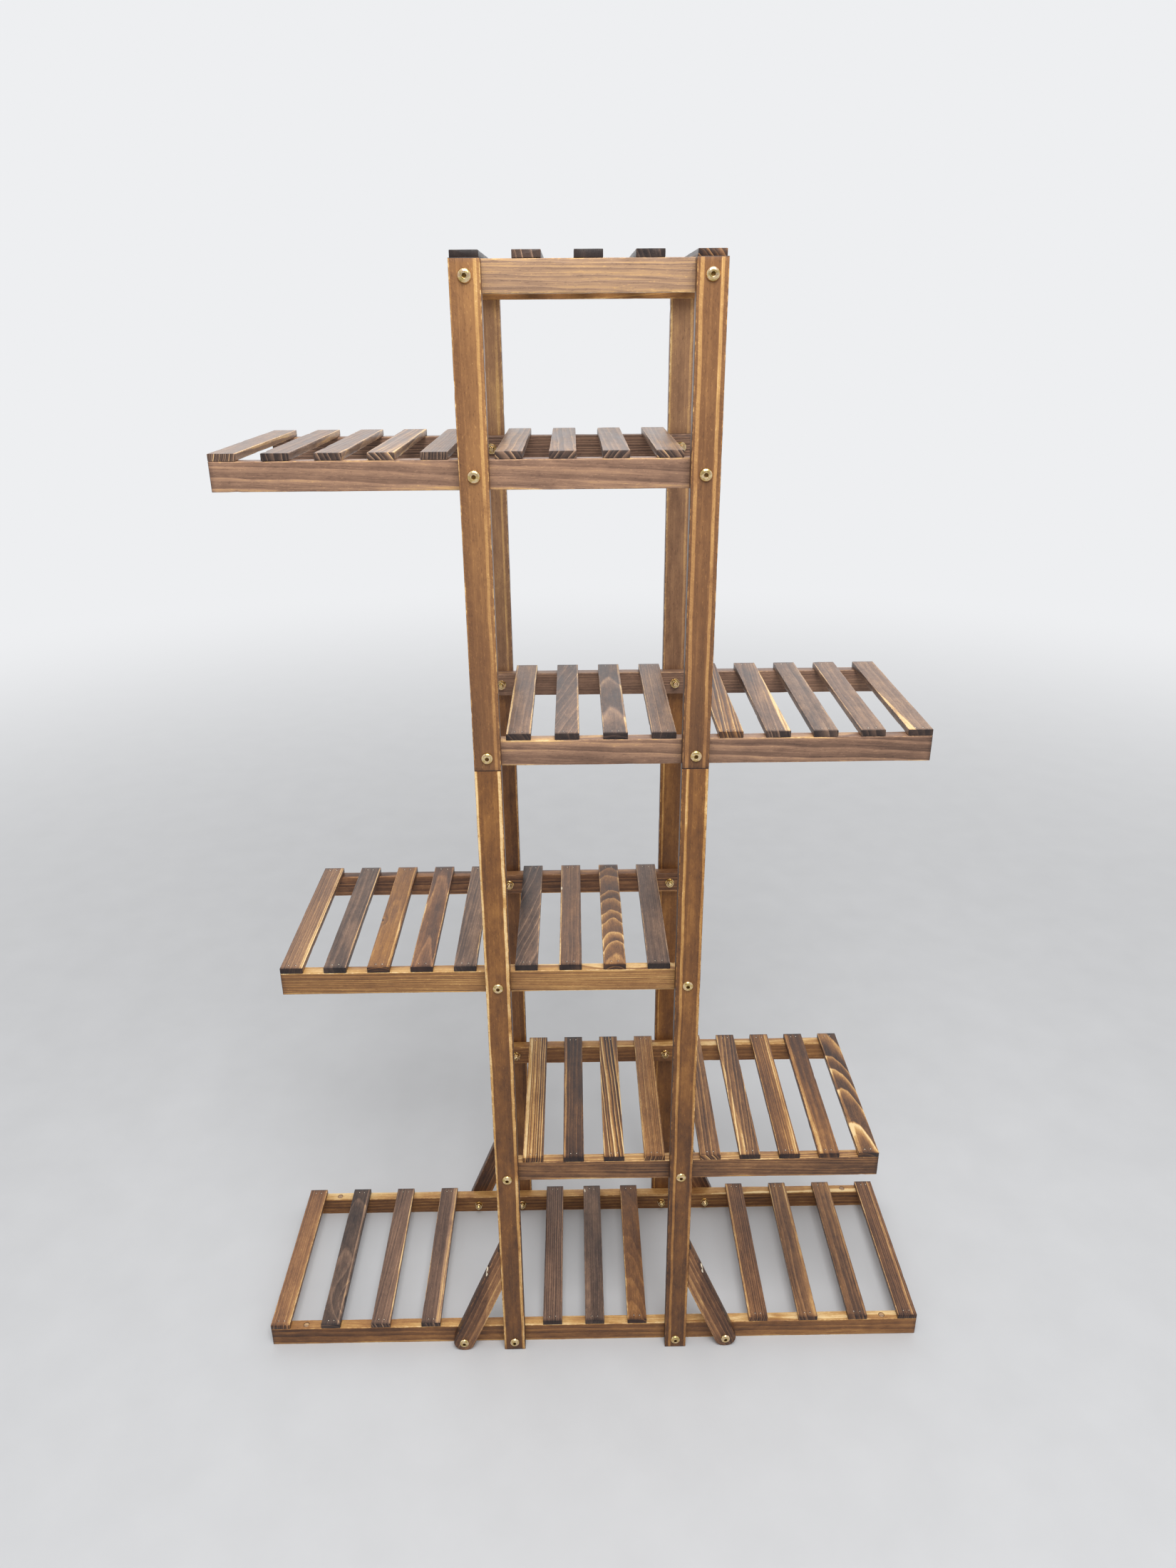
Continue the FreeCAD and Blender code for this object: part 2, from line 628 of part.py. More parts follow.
def build_fasteners(doc):
    """Make the bolts with their washers and nuts, the dowels of the post joints and the braces' screws."""
    bolts = group(doc, "flange_bolts", flange_bolt(doc), along_bolts("0"))
    washers = group(doc, "washers", washer(doc), along_bolts("Sizes.grip"))
    nuts = group(doc, "hexagon_nuts", nut(doc), along_bolts("Sizes.nut_seat"))
    dowel_spots = []
    screw_spots = []
    for face_sign in FACES.values():
        depth = f"{face_sign} * Sizes.post_offset"
        for side, side_sign in SIDES.items():
            for shift in SIDES.values():
                across = f"{side_sign} * Sizes.post_pitch / 2 + {shift} * Sizes.dowel_pitch / 2"
                dowel_spots.append((across, depth, "Sizes.splice_height"))
            across = f"{side_sign} * (Sizes.half_frame + Sizes.screw_grip)"
            height = "Sizes.rail_mid + Sizes.screw_climb"
            screw_spots.append((across, depth, height, side == "left"))
    dowels = group(doc, "splice_dowels", dowel(doc), dowel_spots)
    screws = group(doc, "brace_screws", wood_screw(doc), screw_spots)
    return [bolts, washers, nuts, dowels, screws]


# Checks and files


def check_document(doc, parts):
    """Stop where an object failed, a cut took nothing away, or a part is null or not valid."""
    for item in doc.Objects:
        if "Invalid" in item.State or "Error" in item.State:
            raise RuntimeError(f"{item.Label} is {item.State}")
        if item.isDerivedFrom("Sketcher::SketchObject") and item.solve() != 0:
            raise RuntimeError(f"{item.Label} can't be solved")
        if item.TypeId in ("PartDesign::Pocket", "PartDesign::Chamfer"):
            if item.Shape.Volume >= item.BaseFeature.Shape.Volume:
                raise RuntimeError(f"{item.Label} cuts nothing")
    for part in parts:
        if part.Shape.isNull() or not part.Shape.isValid():
            raise RuntimeError(f"{part.Label} has no valid shape")


def export_parts(parts):
    """Write each part to a file named after its label."""
    os.makedirs("parts", exist_ok=True)
    for part in parts:
        part.Shape.exportStep(os.path.join("parts", part.Label + ".step"))


def main():
    """Build the stand, check it and write its parts."""
    doc = FreeCAD.newDocument(DOCUMENT_NAME)
    write_sheet(doc)
    parts = build_posts(doc) + build_rails(doc) + build_braces(doc) + build_decks(doc)
    parts += build_fasteners(doc)
    doc.recompute()
    check_document(doc, parts)
    export_parts(parts)
    print(f"{len(parts)} parts, {sum(len(part.Shape.Solids) for part in parts)} solids")


main()
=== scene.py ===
import logging
import math
from dataclasses import dataclass, replace
from enum import Enum
from functools import partial, reduce
from typing import Any, Sequence, Union

import bpy
import numpy as np
from mathutils import Matrix, Vector


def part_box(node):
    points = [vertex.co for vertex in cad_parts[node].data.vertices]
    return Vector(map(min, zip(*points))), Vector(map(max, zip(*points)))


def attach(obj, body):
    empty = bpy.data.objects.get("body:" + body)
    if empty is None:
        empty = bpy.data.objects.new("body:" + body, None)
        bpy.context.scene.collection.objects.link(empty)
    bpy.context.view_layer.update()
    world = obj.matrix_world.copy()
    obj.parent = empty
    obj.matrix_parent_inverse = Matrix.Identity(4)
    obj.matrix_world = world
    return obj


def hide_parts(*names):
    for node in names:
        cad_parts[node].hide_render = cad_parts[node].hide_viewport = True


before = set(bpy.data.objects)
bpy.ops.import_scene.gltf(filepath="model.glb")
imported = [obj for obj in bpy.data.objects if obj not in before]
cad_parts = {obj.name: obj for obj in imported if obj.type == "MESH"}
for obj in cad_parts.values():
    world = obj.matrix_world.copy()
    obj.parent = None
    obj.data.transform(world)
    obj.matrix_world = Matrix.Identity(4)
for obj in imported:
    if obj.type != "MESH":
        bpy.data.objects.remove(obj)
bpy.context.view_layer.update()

# A bolted plant stand of scorched and brushed softwood. Lengths in this file are millimetres unless a name says
# otherwise; the scene itself is in metres. X runs across the stand, Y from front to back, Z up.

LOG = logging.getLogger("plant_stand")
BODY = "root"
MM = 0.001
TIERS = range(1, 7)
FACES = {"front": -1, "back": 1}
SIDES = {"left": -1, "right": 1}
ACROSS = Vector((1, 0, 0))
DEPTH = Vector((0, 1, 0))
UP = Vector((0, 0, 1))

Socket = bpy.types.NodeSocket
Value = Union[Socket, float]
Colour = tuple[float, float, float, float]
Row = Union[float, np.ndarray]
Shell = tuple[np.ndarray, Sequence[tuple[int, ...]]]

# Where the random draws of each kind of piece start from. Each bay's brads and each board's figure draw apart
# from its shapes, by a step.
POST_SEED = 100
RAIL_SEED = 200
BRACE_SEED = 301
SLAT_SEED = 400
DOWEL_SEED = 800
PLUG_SEED = 900
BRAD_SEED_STEP = 900
FIGURE_SEED_STEP = 5000

# Shares that all the wood's finishes have in common
SHIFT_SPREAD = 13.7
FIGURE_GAIN = 1.5
FINE_GAIN = 0.42
COARSE_GAIN = 0.34
PASS_GAIN = 2.8
MOTTLE_GAIN = 1.3
KNOT_CHAR = 0.38


def paint(red: int, green: int, blue: int) -> Colour:
    """Turn a colour as it looks on a screen into the linear colour that a shader takes.

    Args:
        red: Red from 0 to 255.
        green: Green from 0 to 255.
        blue: Blue from 0 to 255.

    Returns:
        The linear colour with full alpha.
    """
    shares = [channel / 255 for channel in (red, green, blue)]
    linear = [s / 12.92 if s <= 0.04045 else ((s + 0.055) / 1.055) ** 2.4 for s in shares]
    return (*linear, 1.0)


# Wood as it grew and as it was scorched


@dataclass(frozen=True)
class Log:
    """Where a board lay in its tree, which settles the figure on its faces and ends.

    Attributes:
        pith_across: Centre of the tree, sideways from the board's centre line.
        pith_depth: Centre of the tree, up from the board's centre line.
        slope_across: How far the tree's centre wanders sideways for each unit along the board.
        slope_depth: How far it wanders up for each unit along the board.
        ring: Width of one year's growth.
        waviness: How far the rings stray from true circles.
        sharpness: How narrow the pale line of each ring is.
    """

    pith_across: float
    pith_depth: float
    slope_across: float
    slope_depth: float
    ring: float
    waviness: float
    sharpness: float


class Cut(Enum):
    """How a board was sawn."""

    STRAIGHT = Log(-95.0, 14.0, 0.004, 0.0, 3.3, 1.2, 1.6)
    FINE = Log(-120.0, 30.0, 0.003, 0.0, 1.9, 0.8, 1.3)
    BROAD = Log(-80.0, -20.0, 0.010, -0.010, 6.5, 2.4, 3.0)
    SOFT = Log(-72.0, -24.0, 0.008, -0.008, 9.0, 3.4, 1.4)
    DRIFTING = Log(-72.0, -24.0, 0.046, -0.010, 12.0, 3.2, 1.5)
    LINED = Log(-110.0, -12.0, 0.007, -0.004, 9.5, 1.8, 9.0)
    LEANING = Log(-70.0, -30.0, 0.060, -0.020, 4.6, 1.8, 2.0)
    SLANTED = Log(-60.0, -34.0, 0.260, -0.050, 8.0, 2.2, 7.0)
    RIFT = Log(-62.0, -58.0, 0.030, -0.010, 4.8, 1.4, 1.8)
    ARCHED = Log(1.5, -38.0, 0.006, -0.190, 5.0, 2.4, 2.0)
    SIDE_ARCHED = Log(-9.0, -40.0, -0.020, -0.110, 5.8, 2.0, 2.2)
    FLAMED = Log(-1.0, -50.0, 0.010, -0.060, 7.0, 1.6, 5.0)
    LONG_ARCHED = Log(2.0, -52.0, 0.004, -0.022, 4.2, 2.0, 5.0)
    WAVED = Log(-46.0, -54.0, 0.014, 0.008, 3.4, 1.9, 1.5)
    PINLINED = Log(-120.0, 8.0, 0.003, 0.0, 2.3, 0.9, 3.2)


@dataclass(frozen=True)
class Scorch:
    """How far a board was burnt and brushed.

    Attributes:
        level: Overall lightness, from 0 for charcoal to 1 for raw pale wood.
        contrast: Lightness from soft to hard wood within a ring; below zero the hard wood is the darker.
        patches: Strength of the burner's uneven passes.
        redness: Share of red warmth.
        greyness: Share of grey char film.
    """

    level: float
    contrast: float
    patches: float
    redness: float
    greyness: float


class Tone(Enum):
    """The shades that the boards of the stand fall into."""

    HONEY = Scorch(0.68, -0.14, 0.06, 0.10, 0.38)
    AMBER = Scorch(0.52, 0.10, 0.16, 0.22, 0.0)
    SIENNA = Scorch(0.61, 0.09, 0.08, 0.20, 0.08)
    UMBER = Scorch(0.50, 0.16, 0.12, 0.24, 0.24)
    GOLDEN = Scorch(0.58, 0.20, 0.12, 0.10, 0.0)
    STRIPED = Scorch(0.58, 0.55, 0.12, 0.12, 0.05)
    PINSTRIPED = Scorch(0.62, -0.40, 0.12, 0.04, 0.06)
    CHESTNUT = Scorch(0.52, 0.24, 0.16, 0.28, 0.05)
    RUSSET = Scorch(0.45, 0.28, 0.16, 0.50, 0.16)
    MAUVE = Scorch(0.62, 0.16, 0.10, 0.55, 0.44)
    BROWN = Scorch(0.48, 0.30, 0.18, 0.15, 0.12)
    TAUPE = Scorch(0.46, 0.15, 0.18, 0.17, 0.40)
    SLATE = Scorch(0.40, 0.20, 0.20, 0.04, 0.42)
    CHARRED = Scorch(0.31, 0.18, 0.16, 0.12, 0.40)
    FIGURED = Scorch(0.50, 0.52, 0.14, 0.12, 0.08)
    RAW = Scorch(0.86, 0.12, 0.04, 0.0, 0.0)


@dataclass(frozen=True)
class Look:
    """One board's own appearance.

    Attributes:
        tone: Its shade.
        cut: Its figure.
        lift: How much lighter it is than its shade.
        bold: How much stronger its figure is than its shade's.
        left: Pale band by its left edge, or its lower edge on a rail: start and end from that edge.
        right: Pale band by its right or upper edge, likewise.
        glow: How much lighter those bands are, where it has any.
        lean: Change of lightness from its middle to its right or upper edge.
        fade: Change of lightness from its middle to its front, top or right end.
        belly: How much lighter its middle is than both its edges.
        stripes: How much of the rings shows on its burnt ends.
        flaw: A torn pale spot or, with a radius below zero, a knot: place along, place across, radius.
        turned: Whether its figure slants and curves the other way.
        taper: How much its pale bands narrow from its front, top or right end to the other.
        side: Share of its finish's painted side shade that its narrow sides get; where the two differ in sign, the
            sides get painted light instead.
    """

    tone: Tone
    cut: Cut
    lift: float = 0.0
    bold: float = 1.0
    left: tuple[float, float] = (0.0, 0.0)
    right: tuple[float, float] = (0.0, 0.0)
    glow: float = 0.34
    lean: float = 0.0
    fade: float = 0.0
    belly: float = 0.0
    stripes: float = 0.15
    flaw: tuple[float, float, float] = (0.0, 0.0, 0.0)
    turned: bool = False
    taper: float = 0.0
    side: float = 1.0

    def mirrored(self) -> "Look":
        """The same look with its left and right edges swapped."""
        return replace(self, left=self.right, right=self.left, lean=-self.lean)


class NodeSketch:
    """A short way to wire the nodes of one tree."""

    def __init__(self, tree: bpy.types.NodeTree) -> None:
        """Take up the tree to wire."""
        self.tree = tree

    def feed(self, socket: Socket, value: Any) -> None:
        """Link a socket, or set it where the value is a plain one.

        Args:
            socket: The socket to feed.
            value: Another socket, or a plain value.
        """
        if isinstance(value, bpy.types.NodeSocket):
            self.tree.links.new(value, socket)
        else:
            socket.default_value = value

    def node(self, kind: str, inputs: dict[Union[int, str], Any], **settings: Any) -> bpy.types.Node:
        """Add a node.

        Args:
            kind: Blender's name for the node type, without its common prefix.
            inputs: What each input takes, by number or name.
            **settings: The node's own settings.

        Returns:
            The new node.
        """
        made = self.tree.nodes.new("ShaderNode" + kind)
        for setting, choice in settings.items():
            setattr(made, setting, choice)
        for place, value in inputs.items():
            self.feed(made.inputs[place], value)
        return made

    def math(self, operation: str, *values: Value, clamp: bool = False) -> Socket:
        """Do one sum on numbers."""
        made = self.node("Math", dict(enumerate(values)), operation=operation, use_clamp=clamp)
        return made.outputs[0]

    def less(self, value: Value, other: Value) -> Socket:
        """The first number less the second."""
        return self.math("SUBTRACT", value, other)

    def line(self, value: Value, slope: Value, start: Value) -> Socket:
        """Height of a straight line over a value."""
        return self.math("MULTIPLY_ADD", value, slope, start)

    def total(self, *values: Value) -> Socket:
        """Add up any count of numbers."""
        return reduce(partial(self.math, "ADD"), values)

    def times(self, *values: Value) -> Socket:
        """Multiply any count of numbers."""
        return reduce(partial(self.math, "MULTIPLY"), values)

    def blend(self, share: Value, low: Value, high: Value) -> Socket:
        """Mix two numbers."""
        return self.node("Mix", {0: share, 2: low, 3: high}, data_type="FLOAT").outputs[0]

    def step(self, value: Value, low: Value, high: Value) -> Socket:
        """Rise smoothly from 0 to 1 between two limits."""
        inputs = {"Value": value, "From Min": low, "From Max": high}
        return self.node("MapRange", inputs, interpolation_type="SMOOTHSTEP").outputs[0]

    def fall(self, value: Value, low: Value, high: Value) -> Socket:
        """Fall smoothly from 1 to 0 between two limits."""
        return self.less(1.0, self.step(value, low, high))

    def reach(self, *sides: Value) -> Socket:
        """Length of a line from its parts along the axes."""
        return self.math("SQRT", self.total(*(self.times(side, side) for side in sides)))

    def parts(self, vector: Socket) -> tuple[Socket, Socket, Socket]:
        """Take a vector apart."""
        made = self.node("SeparateXYZ", {0: vector})
        return made.outputs[0], made.outputs[1], made.outputs[2]

    def join(self, x: Value, y: Value, z: Value) -> Socket:
        """Make a vector of three numbers."""
        return self.node("CombineXYZ", {0: x, 1: y, 2: z}).outputs[0]

    def stored(self, name: str) -> tuple[Socket, Socket, Socket]:
        """Read three numbers that the mesh stores at its points."""
        made = self.node("Attribute", {}, attribute_name=name, attribute_type="GEOMETRY")
        return self.parts(made.outputs["Vector"])

    def noise(self, vector: Value, detail: float = 2.0, rough: float = 0.5) -> bpy.types.Node:
        """Smooth random values over a vector that is scaled already."""
        inputs = {"Vector": vector, "Scale": 1.0, "Detail": detail, "Roughness": rough}
        return self.node("TexNoise", inputs)

    def stray(self, vector: Value, detail: float) -> Socket:
        """Random values from about -0.5 to 0.5, rougher than plain noise."""
        return self.less(self.noise(vector, detail, 0.6).outputs["Fac"], 0.5)

    def ramp(self, value: Value, stops: Sequence[tuple[float, Colour]]) -> Socket:
        """Turn a number into a colour.

        Args:
            value: The number, from 0 to 1.
            stops: Places and their colours, rising.

        Returns:
            The colour's socket.
        """
        made = self.node("ValToRGB", {0: value})
        elements = made.color_ramp.elements
        while len(elements) < len(stops):
            elements.new(1.0)
        for element, (place, colour) in zip(elements, stops):
            element.position = place
            element.color = colour
        return made.outputs[0]

    def tinted(self, share: Value, colour: Socket, tint: Colour) -> Socket:
        """Multiply a colour by a tint, by a share."""
        inputs = {0: share, 6: colour, 7: tint}
        return self.node("Mix", inputs, data_type="RGBA", blend_type="MULTIPLY").outputs[2]


class MaterialSketch(NodeSketch):
    """A material under way, with its own Principled shader."""

    def __init__(self, name: str) -> None:
        """Start a material.

        Args:
            name: Name of the material.
        """
        self.material = bpy.data.materials.new(name)
        self.material.use_nodes = True
        super().__init__(self.material.node_tree)
        self.shader = self.tree.nodes["Principled BSDF"]

    def finish(self, **inputs: Any) -> bpy.types.Material:
        """Feed the shader's inputs and hand over the material.

        Args:
            **inputs: What each input takes, named with underscores for spaces.

        Returns:
            The material.
        """
        for name, value in inputs.items():
            self.feed(self.shader.inputs[name.replace("_", " ")], value)
        return self.material


TORN = paint(240, 226, 200)
SCORCH_SCALE = (
    (0.00, paint(31, 26, 29)),
    (0.18, paint(54, 40, 36)),
    (0.36, paint(87, 60, 42)),
    (0.52, paint(123, 84, 50)),
    (0.68, paint(160, 114, 64)),
    (0.84, paint(200, 155, 94)),
    (1.00, paint(238, 206, 152)),
)


@dataclass(frozen=True)
class WoodFinish:
    """Scorched, brushed and varnished softwood.

    Attributes:
        name: Name of the material.
        gloss: Roughness of the varnish film, on average.
        relief: Height of the brushed grain.
        worn: How much the arrises are rubbed through.
        grain: Strength of the fine streaks.
        flecks: Strength of the small pale and dark flecks.
        scratches: Strength of the slanting marks of the brush near the edges.
        end_char: Darkening towards the ends.
        side_shade: Painted shade on the narrow sides, which carry less of the pale bands too; below zero it is painted
            light, which makes them paler and gives them more of the bands.
        brads: Place of the brads from the board's ends and from its centre line, round which shade is painted, or None.
    """

    name: str
    gloss: float = 0.38
    relief: float = 0.25
    worn: float = 0.2
    grain: float = 1.0
    flecks: float = 0.12
    scratches: float = 0.0
    end_char: float = 0.1
    side_shade: float = 0.0
    brads: Union[tuple[float, float], None] = None

    def material(self) -> bpy.types.Material:
        """The material, which reads each board's own numbers from its mesh."""
        return WoodSketch(self).wired()


class WoodSketch(MaterialSketch):
    """A wooden material under way, which reads where on its board each point lies.

    Attributes:
        wood: Its finish.
        along: Place along the board, from its middle.
        across: Place across it.
        depth: Place in its thickness.
        half_width: Half its width.
        endward: Place along it as a share of half its length.
        aside: Place across it as a share of half its width.
        from_end: Distance from its nearer end.
        from_edge: Distance from its nearer edge.
        from_face: Distance from its nearer face.
        shift: Its own offset for random patterns.
    """

    def __init__(self, wood: WoodFinish) -> None:
        """Start a wooden material.

        Args:
            wood: Its finish.
        """
        super().__init__(wood.name)
        self.wood = wood
        self.along, self.across, self.depth = self.stored("board")
        half_length, self.half_width, half_thickness = self.stored("half")
        self.endward = self.math("DIVIDE", self.along, half_length)
        self.aside = self.math("DIVIDE", self.across, self.half_width)
        self.from_end = self.less(half_length, self.math("ABSOLUTE", self.along))
        self.from_edge = self.less(self.half_width, self.math("ABSOLUTE", self.across))
        self.from_face = self.less(half_thickness, self.math("ABSOLUTE", self.depth))
        _, _, seed = self.stored("rim")
        self.shift = self.times(seed, SHIFT_SPREAD)

    def streaks(self, sides: Sequence[Socket], scale: tuple[float, float], detail: float) -> Socket:
        """Draw fibres that run along the board.

        Args:
            sides: The two directions across the fibres.
            scale: Streaks in each unit along and across.
            detail: How many finer patterns are laid over the first.

        Returns:
            Lightness from about -0.5 to 0.5.
        """
        run = self.line(self.along, scale[0], self.shift)
        return self.stray(self.join(run, *(self.math("MULTIPLY", side, scale[1]) for side in sides)), detail)

    def cloud(self, scale: tuple[float, float], detail: float) -> Socket:
        """Draw soft patches over the board, whatever its figure; see streaks."""
        return self.streaks((self.across, self.depth), scale, detail)

    def wired(self) -> bpy.types.Material:
        """Wire the whole finish.

        Returns:
            The material.
        """
        level, contrast, patches = self.stored("tone")
        redness, greyness, stripes = self.stored("hue")
        _, side, _ = self.stored("wedge")
        torn, knot, swirl = self.flaw()
        hard, strength, bent = self.rings(swirl)
        fine = self.streaks(bent, (0.0085, 1.3), 3.0)
        coarse = self.streaks(bent, (0.012, 0.40), 2.0)
        passes = self.cloud((0.012, 0.05), 2.5)
        mottle = self.cloud((0.075, 0.16), 3.0)
        rub = self.cloud((0.16, 0.45), 3.0)
        grain = self.wood.grain
        plain = self.total(
            level,
            self.times(self.less(hard, 0.3), contrast, strength, FIGURE_GAIN),
            self.total(self.times(fine, FINE_GAIN * grain), self.times(coarse, COARSE_GAIN * grain)),
            self.times(passes, patches, PASS_GAIN),
            self.times(mottle, patches, MOTTLE_GAIN),
            self.shade(),
        )
        # Painted shade on the narrow sides, which then carry less of the pale bands; where the side share and the
        # finish's side shade differ in sign, it is painted light that makes them paler.
        painted_side_shade = self.times(self.step(self.from_edge, 0.5, 0.25), side, self.wood.side_shade)
        face = self.total(
            plain,
            self.times(self.bands(hard), self.line(painted_side_shade, -4.0, 1.0)),
            self.times(painted_side_shade, -1.0),
            self.rubbed(rub),
            self.flecked(),
            self.near_end(),
        )
        if self.wood.scratches:
            face = self.math("ADD", face, self.brushed())
        # Painted shade round each brad's sunk head.
        if self.wood.brads:
            face = self.less(face, self.brad_shade())
        face = self.less(face, self.times(knot, KNOT_CHAR))
        face = self.blend(torn, face, 1.0)
        ringed = self.line(self.times(hard, strength), self.times(stripes, 0.9), 0.11)
        burnt_end = self.total(ringed, self.times(stripes, 0.14), self.times(fine, 0.3), self.times(passes, 0.5))
        lightness = self.blend(self.fall(self.from_end, 0.25, 0.7), face, burnt_end)

        bare = self.ramp(lightness, SCORCH_SCALE)
        kept = self.fall(lightness, 0.62, 0.95)
        full = self.less(1.0, self.times(greyness, kept, 0.8))
        toned = self.node("HueSaturation", {"Saturation": full, "Color": bare}).outputs[0]
        warm = self.tinted(self.times(redness, kept), toned, (1.0, 0.80, 0.70, 1.0))
        warm = self.node("Mix", {0: torn, 6: warm, 7: TORN}, data_type="RGBA").outputs[2]

        sheen = self.total(self.wood.gloss, self.times(passes, 0.25), self.times(fine, 0.2))
        height = self.total(self.times(hard, 0.55), self.times(fine, 0.8), self.times(rub, 0.15))
        bump = self.node("Bump", {"Strength": 0.6, "Distance": self.wood.relief * MM, "Height": height})
        return self.finish(Base_Color=warm, Roughness=sheen, Normal=bump.outputs[0], Specular_IOR_Level=0.24)

    def shade(self) -> Socket:
        """Change the board's lightness from edge to edge, from end to end and in its middle.

        Returns:
            How much lighter a point is.
        """
        lean, fade, belly = self.stored("shade")
        middle_share = self.line(self.math("ABSOLUTE", self.aside), -2.0, 1.0)
        shares = ((lean, self.aside), (fade, self.endward), (belly, middle_share))
        return self.total(*(self.times(*pair) for pair in shares))

    def rings(self, swirl: Socket) -> tuple[Socket, Socket, tuple[Socket, ...]]:
        """Draw the year rings.

        Args:
            swirl: How many rings a knot bends the figure by.

        Returns:
            The share of hard wood, each ring's strength, and the two directions across the fibres.
        """
        log_along, log_across, log_depth = self.stored("log")
        ring, waviness, sharpness = self.stored("ring")
        stray_at = self.join(
            self.line(log_along, 0.011, self.shift),
            self.math("MULTIPLY", log_across, 0.045),
            self.math("MULTIPLY", log_depth, 0.045),
        )
        stray = self.parts(self.noise(stray_at, 2.0).outputs["Color"])
        bent = tuple(
            self.total(place, self.times(self.less(share, 0.5), waviness, 2.0))
            for place, share in ((log_across, stray[0]), (log_depth, stray[1]))
        )
        years = self.math("ADD", self.math("DIVIDE", self.reach(*bent), ring), swirl)
        uneven = self.noise(self.join(self.line(years, 0.45, self.shift), 0.0, 0.0), 1.0)
        years = self.line(uneven.outputs["Fac"], 2.4, years)
        within = self.math("FRACT", years)
        which = self.node("TexWhiteNoise", {"W": self.math("FLOOR", years)}, noise_dimensions="1D")
        strength = self.line(which.outputs["Value"], 0.85, 0.40)
        hard = self.times(self.math("POWER", within, sharpness), self.fall(within, 0.88, 1.0))
        return hard, strength, bent

    def flaw(self) -> tuple[Socket, Socket, Socket]:
        """Draw the board's torn spot or knot.

        Returns:
            Shares of torn fibre and of knot, and how many rings the knot bends the figure by.
        """
        flaw_along, flaw_across, flaw_size = self.stored("flaw")
        size = self.math("MAXIMUM", self.math("ABSOLUTE", flaw_size), 0.01)
        is_knot = self.math("LESS_THAN", flaw_size, -0.1)
        stretch = self.blend(is_knot, 3.6, 1.7)
        run = self.math("DIVIDE", self.less(self.along, flaw_along), stretch)
        side = self.less(self.across, flaw_across)
        ragged_at = self.join(self.times(self.along, 0.4), self.times(self.across, 1.1), self.times(self.depth, 1.1))
        ragged = self.line(self.noise(ragged_at, 3.0, 0.7).outputs["Fac"], 1.6, -0.8)
        share = self.math("DIVIDE", self.reach(run, side), size)
        torn = self.fall(self.math("ADD", share, ragged), 0.75, 0.95)
        torn = self.times(torn, self.math("GREATER_THAN", flaw_size, 0.1))
        knot = self.times(self.fall(share, 0.35, 1.0), is_knot)
        swirl = self.times(self.math("EXPONENT", self.times(share, share, -0.16)), is_knot, 2.4)
        return torn, knot, swirl

    def bands(self, hard: Socket) -> Socket:
        """Draw the pale bands by the board's edges.

        Args:
            hard: Share of hard wood.

        Returns:
            How much lighter the wood is.
        """
        left_start, left_end, glow = self.stored("pale")
        right_start, right_end, _ = self.stored("rim")
        taper, _, _ = self.stored("wedge")
        back = self.line(self.endward, -0.8, 0.8)
        kept = self.math("SUBTRACT", 1.0, self.times(taper, back), clamp=True)
        found = []
        for distance, start, end, offset in (
            (self.math("ADD", self.half_width, self.across), left_start, left_end, 0.0),
            (self.less(self.half_width, self.across), right_start, right_end, 7.3),
        ):
            run = self.line(self.along, 0.013, self.math("ADD", self.shift, offset))
            drift = self.noise(self.join(run, 0.0, 0.0), 2.0).outputs["Fac"]
            faint = self.noise(self.join(run, 4.0, 0.0), 3.0).outputs["Fac"]
            end = self.blend(kept, start, end)
            width = self.less(end, start)
            place = self.less(distance, self.line(drift, 3.0, -1.5))
            soft = self.line(width, -0.22, -0.4)
            inner = self.fall(place, self.math("ADD", end, soft), end)
            outer = self.step(place, self.less(start, 0.7), start)
            outer = self.math("MAXIMUM", outer, self.math("LESS_THAN", start, 0.1))
            seen = self.times(inner, outer, self.math("GREATER_THAN", width, 0.05))
            found.append(self.times(seen, self.step(faint, 0.22, 0.46)))
        band = self.math("MAXIMUM", found[0], found[1])
        return self.times(band, glow, self.line(hard, 0.5, 0.8))

    def rubbed(self, rub: Socket) -> Socket:
        """Rub the arrises through to paler wood, more in some patches than in others."""
        from_arris = self.math("MAXIMUM", self.from_edge, self.from_face)
        return self.times(self.fall(from_arris, 0.4, 1.7), self.step(rub, -0.05, 0.14), self.wood.worn)

    def flecked(self) -> Socket:
        """Scatter small pale and dark flecks, and more pale chips near the ends.

        Returns:
            How much lighter the wood is.
        """
        speck = self.cloud((0.22, 0.75), 2.0)
        pale = self.step(speck, 0.10, 0.22)
        dark = self.step(speck, -0.10, -0.22)
        bare = self.line(self.step(self.from_end, 14.0, 3.0), 0.07, -0.245)
        chip = self.step(self.math("ADD", self.cloud((0.13, 0.34), 4.0), bare), 0.0, 0.03)
        flecks = self.wood.flecks
        return self.total(self.times(pale, flecks), self.times(dark, -flecks), self.times(chip, flecks, 2.4))

    def near_end(self) -> Socket:
        """Darken the wood towards its ends.

        Returns:
            How much lighter the wood is, never above 0.
        """
        run = self.line(self.along, 0.016, self.shift)
        wander = self.noise(self.join(run, 0.0, 0.0), 2.0)
        reach = self.line(wander.outputs["Fac"], 10.0, 1.0)
        return self.times(self.fall(self.from_end, 0.0, reach), -self.wood.end_char)

    def brushed(self) -> Socket:
        """Draw the slanting marks of the brush, strongest by the edges.

        Returns:
            How much lighter the wood is.
        """
        slanted = self.total(self.times(self.along, 0.42), self.times(self.across, 0.90))
        square = self.total(self.times(self.along, 0.90), self.times(self.across, -0.42))
        place = self.join(self.line(slanted, 0.10, self.shift), self.times(square, 0.85), 0.0)
        edge = self.line(self.step(self.math("ABSOLUTE", self.aside), 0.45, 0.8), 0.85, 0.15)
        return self.times(self.stray(place, 2.0), edge, self.wood.scratches * 2)

